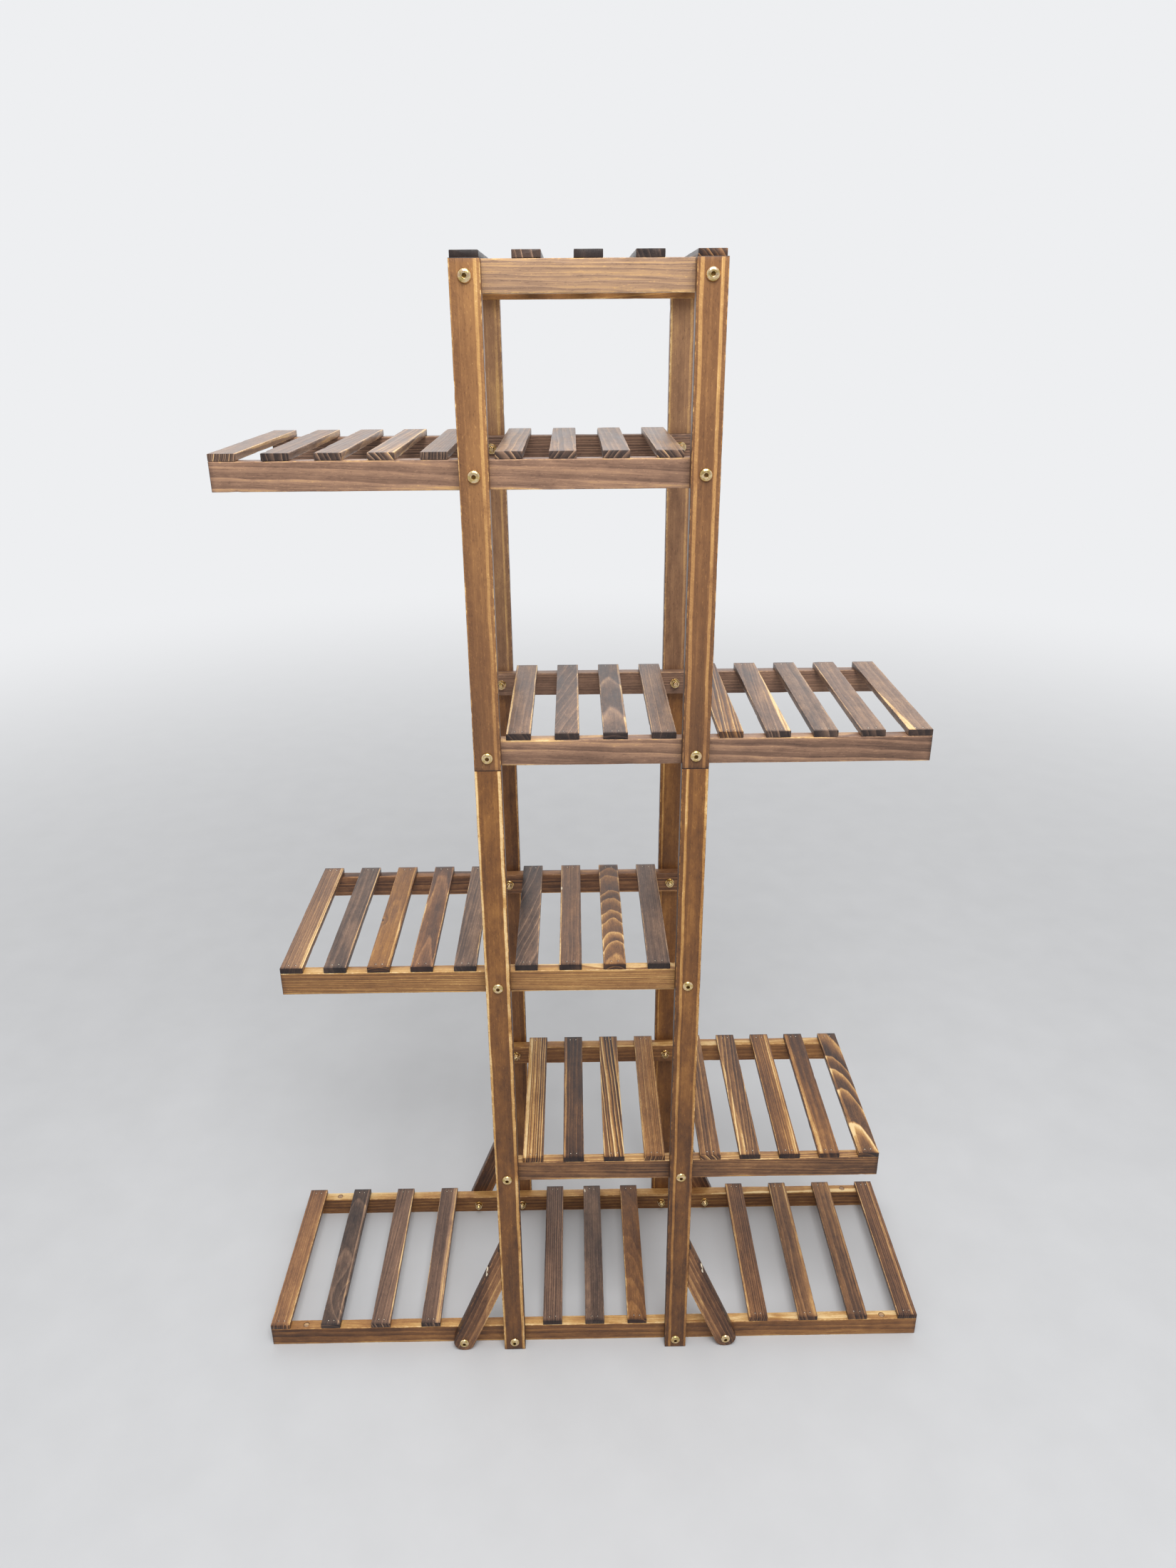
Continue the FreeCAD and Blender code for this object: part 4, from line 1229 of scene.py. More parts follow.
# Looks of the slats from the bottom up, and from left to right
SLAT_LOOKS = (
    # Tier 1
    Look(Tone.RUSSET, Cut.STRAIGHT, lift=0.14, bold=0.4, right=(0.0, 3.0), glow=0.20, fade=0.03, stripes=0.7),
    Look(
        Tone.CHARRED, Cut.FLAMED, lift=0.09, bold=1.3, right=(2.4, 5.0), glow=0.30, lean=0.06, fade=0.01, stripes=0.6,
        flaw=(88.0, 17.0, -9.0),
    ),
    Look(Tone.MAUVE, Cut.LEANING, lift=-0.13, bold=0.8, right=(0.0, 2.6), glow=0.36, lean=0.05, stripes=0.7),
    Look(Tone.MAUVE, Cut.BROAD, lift=-0.18, bold=0.5, left=(0.0, 1.0), right=(0.4, 8.4), glow=0.40, stripes=0.5),
    Look(Tone.MAUVE, Cut.STRAIGHT, lift=-0.19, bold=1.6, right=(0.0, 0.8), glow=0.16),
    Look(Tone.TAUPE, Cut.FINE, lift=-0.07, bold=0.9, lean=-0.02, stripes=0.3, flaw=(-120.0, -11.5, 1.2)),
    Look(Tone.CHESTNUT, Cut.SIDE_ARCHED, bold=0.4, left=(0.0, 1.8), glow=0.30, fade=0.07, stripes=0.5),
    Look(
        Tone.RUSSET, Cut.STRAIGHT, lift=0.03, bold=0.8, left=(0.0, 4.0), right=(0.0, 0.8), glow=0.16, lean=-0.05,
        stripes=0.6,
    ),
    Look(
        Tone.BROWN, Cut.SOFT, lift=0.01, bold=0.6, left=(0.0, 1.2), right=(1.2, 5.0), glow=0.28, lean=0.03,
        stripes=0.45,
    ),
    Look(
        Tone.BROWN, Cut.SOFT, lift=-0.01, bold=0.5, left=(0.0, 1.2), right=(2.0, 4.2), glow=0.22, lean=0.04, fade=-0.05,
        stripes=0.55,
    ),
    Look(Tone.RUSSET, Cut.STRAIGHT, bold=0.8, left=(0.0, 2.2), right=(5.0, 8.4), glow=0.28, lean=0.03, stripes=0.5),
    # Tier 2
    Look(Tone.STRIPED, Cut.STRAIGHT, lift=0.04, left=(0.0, 4.4), glow=0.22, lean=-0.08, fade=0.03, stripes=0.8),
    Look(Tone.BROWN, Cut.BROAD, lift=-0.12, bold=0.5, left=(1.6, 4.6), right=(0.0, 0.8), glow=0.30, fade=0.01),
    Look(
        Tone.STRIPED, Cut.LEANING, lift=-0.05, bold=1.1, left=(0.0, 2.0), right=(0.0, 2.0), glow=0.28, fade=0.05,
        turned=True,
    ),
    Look(Tone.CHESTNUT, Cut.FINE, lift=0.06, bold=1.3, left=(0.0, 1.0), glow=0.20, fade=0.02, stripes=0.8),
    Look(Tone.BROWN, Cut.RIFT, lift=0.01, left=(0.0, 1.4), right=(0.0, 1.2), glow=0.25, stripes=0.9),
    Look(Tone.BROWN, Cut.LEANING, left=(0.0, 12.0), right=(1.0, 2.8), glow=0.25, lean=-0.08, taper=0.6),
    Look(Tone.CHESTNUT, Cut.STRAIGHT, bold=0.9, left=(0.0, 1.4), right=(2.6, 7.0), glow=0.20, lean=0.05),
    Look(
        Tone.CHESTNUT, Cut.BROAD, lift=-0.04, bold=0.5, left=(1.8, 6.0), glow=0.28, fade=0.12, belly=-0.03, stripes=0.4
    ),
    Look(
        Tone.FIGURED, Cut.SIDE_ARCHED, lift=0.05, left=(0.0, 7.0), right=(0.0, 1.4), glow=0.28, fade=0.13, stripes=0.45,
        taper=0.5,
    ),
    # Tier 3
    Look(Tone.UMBER, Cut.FINE, lift=0.04, bold=1.3, right=(0.6, 4.8), glow=0.28, lean=0.04, fade=0.03),
    Look(Tone.TAUPE, Cut.BROAD, lift=-0.02, bold=0.7, right=(0.0, 2.4), glow=0.36, lean=0.03),
    Look(
        Tone.GOLDEN, Cut.LONG_ARCHED, lift=0.04, bold=0.8, right=(2.0, 4.0), glow=0.28, lean=-0.02, stripes=0.7,
        flaw=(18.0, -12.0, -1.8),
    ),
    Look(Tone.RUSSET, Cut.LONG_ARCHED, lift=0.10, left=(0.0, 1.8), right=(0.0, 2.4), glow=0.28),
    Look(Tone.TAUPE, Cut.LEANING, left=(0.0, 1.0), right=(0.0, 1.6), glow=0.30, lean=0.04),
    Look(Tone.TAUPE, Cut.SLANTED, lift=0.05, bold=2.6, right=(0.0, 1.6), glow=0.20, lean=0.08, fade=0.02),
    Look(Tone.UMBER, Cut.BROAD, lift=0.01, bold=0.9, left=(0.0, 2.2), glow=0.32, flaw=(-62.0, -12.5, 1.3)),
    Look(
        Tone.FIGURED, Cut.ARCHED, lift=0.03, bold=0.68, left=(0.0, 1.8), right=(0.0, 1.8), glow=0.22, fade=0.06,
        stripes=0.5,
    ),
    Look(Tone.TAUPE, Cut.FINE, lift=-0.02, left=(0.0, 1.2), right=(0.0, 1.0), glow=0.26),
    # Tier 4
    Look(Tone.TAUPE, Cut.RIFT, lift=0.07, bold=0.7, left=(0.0, 3.0), right=(0.0, 1.8), glow=0.40, stripes=0.35),
    Look(Tone.TAUPE, Cut.SLANTED, lift=0.08, bold=1.7, right=(0.0, 2.6), glow=0.34, lean=0.03, fade=0.05, stripes=0.3),
    Look(Tone.TAUPE, Cut.FLAMED, lift=0.06, bold=2.4, left=(0.0, 1.0), right=(0.0, 3.0), glow=0.40, stripes=0.3),
    Look(Tone.TAUPE, Cut.FINE, lift=0.04, left=(0.0, 1.2), right=(0.0, 1.0), glow=0.32),
    Look(Tone.FIGURED, Cut.LEANING, lift=0.03, left=(0.0, 2.6), right=(0.0, 1.0), glow=0.25, fade=0.08, stripes=0.8),
    Look(
        Tone.TAUPE, Cut.LEANING, lift=0.06, bold=0.8, left=(0.0, 1.0), right=(0.0, 8.0), glow=0.42, lean=0.04,
        stripes=0.5, taper=0.6,
    ),
    Look(Tone.SLATE, Cut.SOFT, lift=0.10, bold=0.6, left=(0.0, 0.8), right=(0.0, 2.4), glow=0.18, stripes=0.4),
    Look(Tone.TAUPE, Cut.SOFT, lift=0.08, bold=0.6, left=(0.0, 1.8), glow=0.30, stripes=0.3),
    Look(Tone.TAUPE, Cut.SOFT, lift=0.10, bold=0.6, left=(0.0, 9.0), glow=0.40, fade=0.02, taper=1.0),
    # Tier 5
    Look(Tone.TAUPE, Cut.FINE, lift=0.08, right=(0.0, 2.0), glow=0.28, stripes=0.8, side=0.4),
    Look(Tone.TAUPE, Cut.BROAD, lift=0.06, right=(0.0, 1.6), glow=0.28, stripes=0.5, side=0.4),
    Look(Tone.TAUPE, Cut.LEANING, lift=0.07, right=(0.0, 2.8), glow=0.28, stripes=0.5, side=0.4),
    Look(Tone.TAUPE, Cut.RIFT, lift=0.14, bold=1.6, right=(0.6, 3.0), glow=0.26, stripes=0.8, side=0.4),
    Look(Tone.TAUPE, Cut.STRAIGHT, lift=0.05, right=(0.0, 1.0), glow=0.24, stripes=0.6),
    Look(Tone.TAUPE, Cut.RIFT, lift=0.13, bold=1.4, right=(0.0, 0.8), glow=0.22, stripes=0.7),
    Look(Tone.TAUPE, Cut.RIFT, lift=0.08, bold=1.5, right=(0.0, 0.8), glow=0.22, stripes=0.6, turned=True),
    Look(Tone.TAUPE, Cut.RIFT, lift=0.09, right=(0.0, 0.8), glow=0.22, stripes=0.6, turned=True),
    Look(Tone.TAUPE, Cut.RIFT, lift=0.14, left=(0.0, 1.2), right=(0.0, 1.0), glow=0.22, stripes=0.85),
    # Tier 6
    Look(Tone.CHARRED, Cut.BROAD, stripes=0.03),
    Look(Tone.TAUPE, Cut.SLANTED, stripes=1.0),
    Look(Tone.CHARRED, Cut.FINE, stripes=0.05),
    Look(Tone.SLATE, Cut.LEANING, stripes=0.25),
    Look(Tone.BROWN, Cut.RIFT, stripes=0.7),
)


# Sub-assemblies


@dataclass
class Hardware:
    """Sizes that the wood and the metal share.

    Attributes:
        bolt_bore: Radius of a bolt hole in the wood.
        dowel_bore: Radius of a dowel hole.
        dowel_depth: Depth of a dowel hole.
        dowel_half_pitch: Half the distance between a joint's two dowels.
        screw_bore: Radius of the hole round a brace screw's shank.
        screw_depth: Depth of that hole in the post.
        screw_seat: Radius of the hole round its head.
        overrun: How far a cutter passes a face.
    """

    bolt_bore: float = 3.25
    dowel_bore: float = 3.1
    dowel_depth: float = 16.0
    dowel_half_pitch: float = 9.0
    screw_bore: float = 2.1
    screw_depth: float = 19.0
    screw_seat: float = 4.1
    overrun: float = 2.0

    def bolt_holes(self, spots: Sequence[Vector], sign: int, grip: float) -> list[Bore]:
        """Bores from front to back at the spots of bolts, each through a grip of wood."""
        start = DEPTH * sign * (grip / 2 + self.overrun) * MM
        return [Bore(spot + start, DEPTH * -sign, grip + 2 * self.overrun, self.bolt_bore) for spot in spots]


HARDWARE = Hardware()


def middle(node: str) -> Vector:
    """Middle of a CAD node's box, in metres."""
    low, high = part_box(node)
    return (low + high) / 2


def size(node: str) -> Vector:
    """Size of a CAD node's box."""
    low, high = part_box(node)
    return (high - low) / MM


@dataclass
class Posts:
    """The four lower and the four upper posts.

    Attributes:
        arris: Radius of their long edges.
        nick_count: How many dents each has.
    """

    arris: float = 1.0
    nick_count: int = 10

    def build(self, rail_middles: dict[str, list[float]]) -> None:
        """Make every post.

        Args:
            rail_middles: Heights in metres of the bolts in the lower and in the upper posts.
        """
        material = POST_WOOD.material()
        for seed, (key, look) in enumerate(POST_LOOKS.items(), POST_SEED):
            node = key + "_post"
            face, _, part = key.split("_")
            sign = FACES[face]
            width, thickness, length = size(node)
            centre = middle(node)
            look = look.mirrored() if sign < 0 else look
            board = Board(
                centre, UP, ACROSS * sign, length, width, thickness, look, seed,
                arris=self.arris, nick_count=self.nick_count,
            )
            spots = [Vector((centre.x, centre.y, height)) for height in rail_middles[part]]
            bores = HARDWARE.bolt_holes(spots, sign, thickness)
            bores += self.dowel_holes(node, part)
            if part == "lower":
                bores.append(self.screw_hole(node, key))
            settle(wooden(node + "_wood", [board], bores), material, [node])

    @staticmethod
    def dowel_holes(node: str, part: str) -> list[Bore]:
        """Bores for the two dowels in the end of a post that meets the other.

        Args:
            node: The post's CAD node.
            part: Lower or upper.

        Returns:
            The two bores.
        """
        low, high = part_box(node)
        centre = middle(node)
        end, direction = (high.z, -UP) if part == "lower" else (low.z, UP)
        bores = []
        for sign in SIDES.values():
            start = Vector((centre.x + sign * HARDWARE.dowel_half_pitch * MM, centre.y, end))
            start -= direction * HARDWARE.overrun * MM
            bores.append(Bore(start, direction, HARDWARE.dowel_depth + HARDWARE.overrun, HARDWARE.dowel_bore))
        return bores

    @staticmethod
    def screw_hole(node: str, key: str) -> Bore:
        """Bore for the brace's screw in a lower post.

        Args:
            node: The post's CAD node.
            key: Its face, side and part, with underscores between.

        Returns:
            The bore.
        """
        face, side, _ = key.split("_")
        screw = Braces.screw_spot(face, side)
        centre, sign = middle(node), SIDES[side]
        start = Vector((centre.x + sign * (size(node).x / 2 + HARDWARE.overrun) * MM, centre.y, screw.z))
        return Bore(start, ACROSS * -sign, HARDWARE.screw_depth + HARDWARE.overrun, HARDWARE.screw_bore)


@dataclass
class Rails:
    """The front and back rails of the six tiers.

    Attributes:
        nick_count: How many dents each has.
    """

    nick_count: int = 6

    @staticmethod
    def node(tier: int, face: str) -> str:
        """Name of a rail's CAD node."""
        return f"tier_{tier}_{face}_rail"

    def build(self, post_middles: list[float], foot_middles: list[float], plugs: "Plugs") -> None:
        """Make every rail.

        Args:
            post_middles: Places across, in metres, of the posts' bolts.
            foot_middles: Places across, in metres, of the braces' bolts.
            plugs: The plugs that the bottom rails are drilled for.
        """
        material = RAIL_WOOD.material()
        for (tier, face), look in zip(((tier, face) for tier in TIERS for face in FACES), RAIL_LOOKS):
            node, sign = self.node(tier, face), FACES[face]
            length, thickness, height = size(node)
            board = Board(
                middle(node), ACROSS * -sign, UP, length, height, thickness, look, RAIL_SEED + tier * 2 + sign,
                nick_count=self.nick_count,
            )
            places = post_middles + (foot_middles if tier == TIERS[0] else [])
            spots = [Vector((place, board.centre.y, board.centre.z)) for place in places]
            bores = HARDWARE.bolt_holes(spots, sign, thickness)
            bores += plugs.holes(face) if tier == TIERS[0] else []
            settle(wooden(node + "_wood", [board], bores), material, [node])


@dataclass
class Braces:
    """The four raking braces, each with a round foot and an upright cut against its post.

    Attributes:
        width: Width of a brace.
        spread: From the post to the bolt at the foot.
        climb: From that bolt up to where the centre line meets the post.
        arris: Radius of the edges.
        foot_points: Points round the foot.
        side_points: Points along each side.
        mitre_points: Points along the cut against the post.
        bore_start: From the screw's head inwards to where the cutter for its shank starts, past the wood.
        bore_length: Length of that cutter.
        seat_depth: From the top of the screw's head down to its seat's floor.
        seat_length: Length of the seat's cutter, which leaves the wood.
        look: Appearance, with the burnt half outwards.
    """

    width: float = 30.0
    spread: float = 57.0
    climb: float = 140.0
    arris: float = 1.0
    foot_points: int = 15
    side_points: int = 26
    mitre_points: int = 12
    bore_start: float = 18.0
    bore_length: float = 40.0
    seat_depth: float = 2.4
    seat_length: float = 30.0
    look: Look = Look(
        Tone.RUSSET, Cut.BROAD, lift=0.03, bold=0.65, left=(0.0, 42.0), glow=0.12, lean=-0.13, fade=0.03, taper=0.95,
        flaw=(60.0, 14.4, 0.9),
    )

    @staticmethod
    def screw_spot(face: str, side: str) -> Vector:
        """Find the head of a brace's screw.

        Args:
            face: Front or back.
            side: Left or right.

        Returns:
            The spot in metres.
        """
        low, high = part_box("brace_screws")
        reach = max(abs(low.x), abs(high.x))
        depth = middle(f"{face}_{side}_brace").y
        return Vector((SIDES[side] * reach, depth, (low.z + high.z) / 2))

    def foot(self, face: str, side: str) -> Vector:
        """Find the bolt at a brace's foot.

        Args:
            face: Front or back.
            side: Left or right.

        Returns:
            The spot in metres.
        """
        low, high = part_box(f"{face}_{side}_brace")
        outer = high.x if side == "right" else low.x
        return Vector((outer - SIDES[side] * self.width / 2 * MM, (low.y + high.y) / 2, low.z + self.width / 2 * MM))

    def outline(self) -> np.ndarray:
        """Walk round a right-hand brace about its foot bolt.

        Returns:
            Points across and up, against the clock, seen with the post at the left.
        """
        radius = self.width / 2
        along = np.array((-self.spread, self.climb)) / math.hypot(self.spread, self.climb)
        outward = np.array((along[1], -along[0]))
        rise = radius / outward[1]
        top = np.array((-self.spread, self.climb + rise))
        low = np.array((-self.spread, self.climb - rise))
        start = math.atan2(outward[1], outward[0])
        turns = np.linspace(start - math.pi, start, self.foot_points)
        foot = np.stack((np.cos(turns), np.sin(turns)), axis=1) * radius
        outer = np.linspace(outward * radius, top, self.side_points)[1:]
        mitre = np.linspace(top, low, self.mitre_points)[1:]
        inner = np.linspace(low, -outward * radius, self.side_points)[1:-1]
        return np.concatenate((foot, outer, mitre, inner))

    def shell(self, foot: Vector, sign: int, thickness: float, seed: int) -> Shell:
        """Build a brace's closed surface.

        Args:
            foot: Where the bolt passes, in metres.
            sign: 1 for a brace on the right, -1 on the left.
            thickness: Its thickness.
            seed: Number that its random draws start from.

        Returns:
            Points in metres, and faces.
        """
        draw = np.random.default_rng(seed)
        flat = self.outline()
        before, after = np.roll(flat, 1, axis=0), np.roll(flat, -1, axis=0)
        edge = after - before
        normal = np.stack((edge[:, 1], -edge[:, 0]), axis=1)
        normal /= np.linalg.norm(normal, axis=1)[:, None]
        wear = self.arris * (1 + 0.3 * np.sin(np.arange(len(flat)) / 3.1 + draw.uniform(0, 6)))
        levels = [(1.0, -0.5), (0.3, -0.5), (0.0, -0.5), (0.0, 0.5), (0.3, 0.5), (1.0, 0.5)]
        lifts = [0.0, 0.3, 1.0, -1.0, -0.3, 0.0]
        loops = []
        for (inset, side), lift in zip(levels, lifts):
            ring = flat - normal * (wear * inset)[:, None]
            heights = side * thickness + lift * wear
            loops.append(np.stack((ring[:, 0] * sign, heights, ring[:, 1]), axis=1))
        points = np.array(foot) + np.concatenate(loops) * MM
        count = len(flat)
        faces = [
            (row + k, row + (k + 1) % count, row + count + (k + 1) % count, row + count + k)
            for row in range(0, (len(loops) - 1) * count, count)
            for k in range(count)
        ]
        last = (len(loops) - 1) * count
        faces.append(tuple(reversed(range(count))))
        faces.append(tuple(last + k for k in range(count)))
        return flipped((points, faces)) if sign > 0 else (points, faces)

    def build(self) -> None:
        """Make every brace."""
        material = BRACE_WOOD.material()
        for seed, (face, side) in enumerate(((face, side) for face in FACES for side in SIDES), BRACE_SEED):
            node = f"{face}_{side}_brace"
            sign, thickness = SIDES[side], size(node).y
            foot, screw = self.foot(face, side), self.screw_spot(face, side)
            outwards = ACROSS * sign
            inside = screw - outwards * self.bore_start * MM
            seat = screw - outwards * self.seat_depth * MM
            piece = new_piece(node + "_wood", *self.shell(foot, sign, thickness, seed))
            holes = HARDWARE.bolt_holes([foot], FACES[face], thickness)
            holes.append(Bore(inside, outwards, self.bore_length, HARDWARE.screw_bore))
            bored(piece, holes)
            bored(piece, [Bore(seat, outwards, self.seat_length, HARDWARE.screw_seat)])
            mark(piece, [self.blank(foot, sign, thickness, seed)], [len(piece.data.vertices)])
            smooth(piece)
            settle(piece, material, [node])

    def blank(self, foot: Vector, sign: int, thickness: float, seed: int) -> Board:
        """Lay out the straight board that a brace was cut from, which carries its figure.

        Args:
            foot: Where the bolt at its foot passes, in metres.
            sign: Sign of its side.
            thickness: Its thickness.
            seed: Number that its draws start from.

        Returns:
            The board.
        """
        along = Vector((-self.spread * sign, 0, self.climb)).normalized()
        across = Vector((along.z, 0, -along.x)) * sign
        reach = math.hypot(self.spread, self.climb)
        centre = foot + along * (reach / 2) * MM
        return Board(centre, along, across, reach + 2 * self.width, self.width, thickness, self.look, seed)


@dataclass
class Plugs:
    """The four round plugs that close the holes in the tops of the bottom rails.

    Attributes:
        reach: From the middle of the stand to a plug.
        radius: Radius of a plug.
        gap: Between a plug and the edge of its hole.
        below: How far it lies below the rail's top.
        deep: Depth of the hole.
        bevel: Size of the bevel round its top.
        blank: Side of the block that each plug's figure is read from.
        segments: Points round it.
    """

    reach: float = 416.0
    radius: float = 3.7
    gap: float = 0.6
    below: float = 0.25
    deep: float = 5.0
    bevel: float = 0.3
    blank: float = 60.0
    segments: int = 28

    def spots(self, face: str) -> list[Vector]:
        """Middles of a bottom rail's two holes, at its top, in metres."""
        rail = Rails.node(TIERS[0], face)
        return [Vector((side * self.reach * MM, middle(rail).y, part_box(rail)[1].z)) for side in SIDES.values()]

    def holes(self, face: str) -> list[Bore]:
        """Bores for a bottom rail's two plugs."""
        start, reach = UP * HARDWARE.overrun * MM, self.deep + HARDWARE.overrun
        return [Bore(spot + start, -UP, reach, self.radius + self.gap) for spot in self.spots(face)]

    def build(self) -> None:
        """Make the plugs."""
        rows = [(-self.deep, 0.0), (-self.deep, self.radius), (-self.below - self.bevel, self.radius)]
        rows += [(-self.below, self.radius - self.bevel), (-self.below, 0.0)]
        shape = turned(rows, self.segments)
        spots = [spot for face in FACES for spot in self.spots(face)]
        piece = new_piece("rail_plugs", *gather([stood(shape, spot, UP) for spot in spots]))
        look = Look(Tone.HONEY, Cut.RIFT, lift=0.02)
        sides = (self.blank, self.blank, self.blank)
        boards = [Board(spot, ACROSS, DEPTH, *sides, look, seed) for seed, spot in enumerate(spots, PLUG_SEED)]
        mark(piece, boards, [len(shape[0])] * len(spots))
        smooth(piece)
        settle(piece, PLUG_WOOD.material(), [])


@dataclass
class Deck:
    """The slats of one bay of one tier, with the brads that hold them.

    Attributes:
        node: The bay's CAD node.
        looks: Appearance of each slat from left to right.
        seed: Number that the first slat's random draws start from.
        slat_width: Width of a slat.
        arris: Radius of its long edges.
        nick_count: How many dents it has.
        brad_end_inset: From a slat's end to its brads.
        brad_half_pitch: From a slat's centre line to each brad.
        brad_radius: Radius of a brad's head.
        brad_sunk: How far its head's rim lies below the slat's face.
        brad_stray: How far a brad strays from its place.
        brad_profile: Its rows from the point up: height, and radius as a share of its head's.
        brad_segments: Points round it.
        sharp_angle: Its edges sharper than this stay sharp, in degrees.
    """

    node: str
    looks: Sequence[Look]
    seed: int
    slat_width: float = 27.5
    arris: float = 0.7
    nick_count: int = 6
    brad_end_inset: float = 7.5
    brad_half_pitch: float = 4.1
    brad_radius: float = 0.82
    brad_sunk: float = 0.08
    brad_stray: float = 0.5
    brad_profile: tuple[tuple[float, float], ...] = (
        (-3.0, 0.0), (-3.0, 0.4), (-0.3, 0.5), (-0.05, 0.95), (0.10, 0.8), (0.16, 0.45), (0.18, 0.0)
    )
    brad_segments: int = 12
    sharp_angle: float = 50.0

    def slats(self) -> list[Board]:
        """Lay the bay's slats evenly over its box.

        Returns:
            Its boards, from left to right.
        """
        low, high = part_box(self.node)
        centre = (low + high) / 2
        thickness, length = (high.z - low.z) / MM, (high.y - low.y) / MM
        first = low.x + self.slat_width / 2 * MM
        last = high.x - self.slat_width / 2 * MM
        boards = []
        for k, look in enumerate(self.looks):
            x = first + (last - first) * k / (len(self.looks) - 1)
            boards.append(Board(
                Vector((x, centre.y, centre.z)), -DEPTH, ACROSS, length, self.slat_width, thickness, look,
                self.seed + k, arris=self.arris, nick_count=self.nick_count,
            ))
        return boards

    def brads(self, boards: Sequence[Board]) -> bpy.types.Object:
        """Drive two brads into each end of each slat.

        Args:
            boards: The bay's slats.

        Returns:
            All the bay's brads as one piece.
        """
        draw = np.random.default_rng(self.seed + BRAD_SEED_STEP)
        rows = [(height, share * self.brad_radius) for height, share in self.brad_profile]
        shape = turned(rows, self.brad_segments)
        shells = []
        for board in boards:
            top = board.centre.z + board.thickness / 2 * MM
            for end in FACES.values():
                for side in SIDES.values():
                    stray = draw.uniform(-self.brad_stray, self.brad_stray, 2)
                    x = board.centre.x + (side * self.brad_half_pitch + stray[0]) * MM
                    y = board.centre.y + end * (board.length / 2 - self.brad_end_inset + stray[1]) * MM
                    shells.append(stood(shape, Vector((x, y, top - self.brad_sunk * MM)), UP))
        piece = new_piece(self.node.replace("slats", "brads"), *gather(shells))
        smooth(piece, self.sharp_angle)
        return piece

    def build(self, wood: bpy.types.Material, steel: bpy.types.Material) -> None:
        """Make the bay.

        Args:
            wood: The slats' material.
            steel: The brads' material.
        """
        boards = self.slats()
        settle(wooden(self.node + "_wood", boards, []), wood, [self.node])
        settle(self.brads(boards), steel, [])


class Decks:
    """The slats of all six tiers."""

    def build(self) -> None:
        """Make every bay of every tier."""
        brads = (Deck.brad_end_inset, Deck.brad_half_pitch)
        wood = WoodFinish(
            "slat_wood", relief=0.28, worn=0.18, grain=0.7, end_char=0.14, side_shade=0.16, brads=brads
        ).material()
        steel = BRAD_STEEL.material()
        first = 0
        for tier in TIERS:
            for node, count in self.bays(tier):
                Deck(node, SLAT_LOOKS[first:first + count], SLAT_SEED + first).build(wood, steel)
                first += count

    @staticmethod
    def bays(tier: int) -> list[tuple[str, int]]:
        """Tell a tier's bays.

        Args:
            tier: The tier, from the bottom up.

        Returns:
            The nodes from left to right, each with its count of slats.
        """
        if tier == TIERS[0]:
            return [("tier_1_left_slats", 4), ("tier_1_centre_slats", 3), ("tier_1_right_slats", 4)]
        if tier == TIERS[-1]:
            return [("tier_6_slats", 5)]
        bays = [(f"tier_{tier}_centre_slats", 4), (f"tier_{tier}_wing_slats", 5)]
        return bays if tier % 2 == 0 else bays[::-1]


@dataclass(frozen=True)
class Lathe:
    """What every turned fixing has in common.

    Attributes:
        segments: Points round its axis.
    """

    segments: int = 36

    @property
    def turns(self) -> np.ndarray:
        """Angles of the points round the axis."""
        return np.arange(self.segments) * 2 * math.pi / self.segments

    def hexagon(self, flat: float) -> np.ndarray:
        """Radii of a hexagon round its middle, from half its size across the flats."""
        sixth = math.pi / 3
        return flat / np.cos((self.turns + sixth / 2) % sixth - sixth / 2)

    def threaded(self, top: float, bottom: float, outer: float, deep: float, pitch: float) -> list[tuple[float, Row]]:
        """Rows of a screw thread.

        Args:
            top: Where it starts.
            bottom: Where it ends, below the start.
            outer: Radius over its crests.
            deep: Depth of its groove.
            pitch: Rise of one turn.

        Returns:
            Heights, each with its radii round the axis.
        """
        share = np.arange(self.segments) / self.segments
        rows = []
        for height in np.arange(top, bottom, -pitch / 4):
            wave = np.abs(((height / pitch + share) % 1.0) * 2 - 1)
            rows.append((height, outer - deep * (1 - wave)))
        return rows


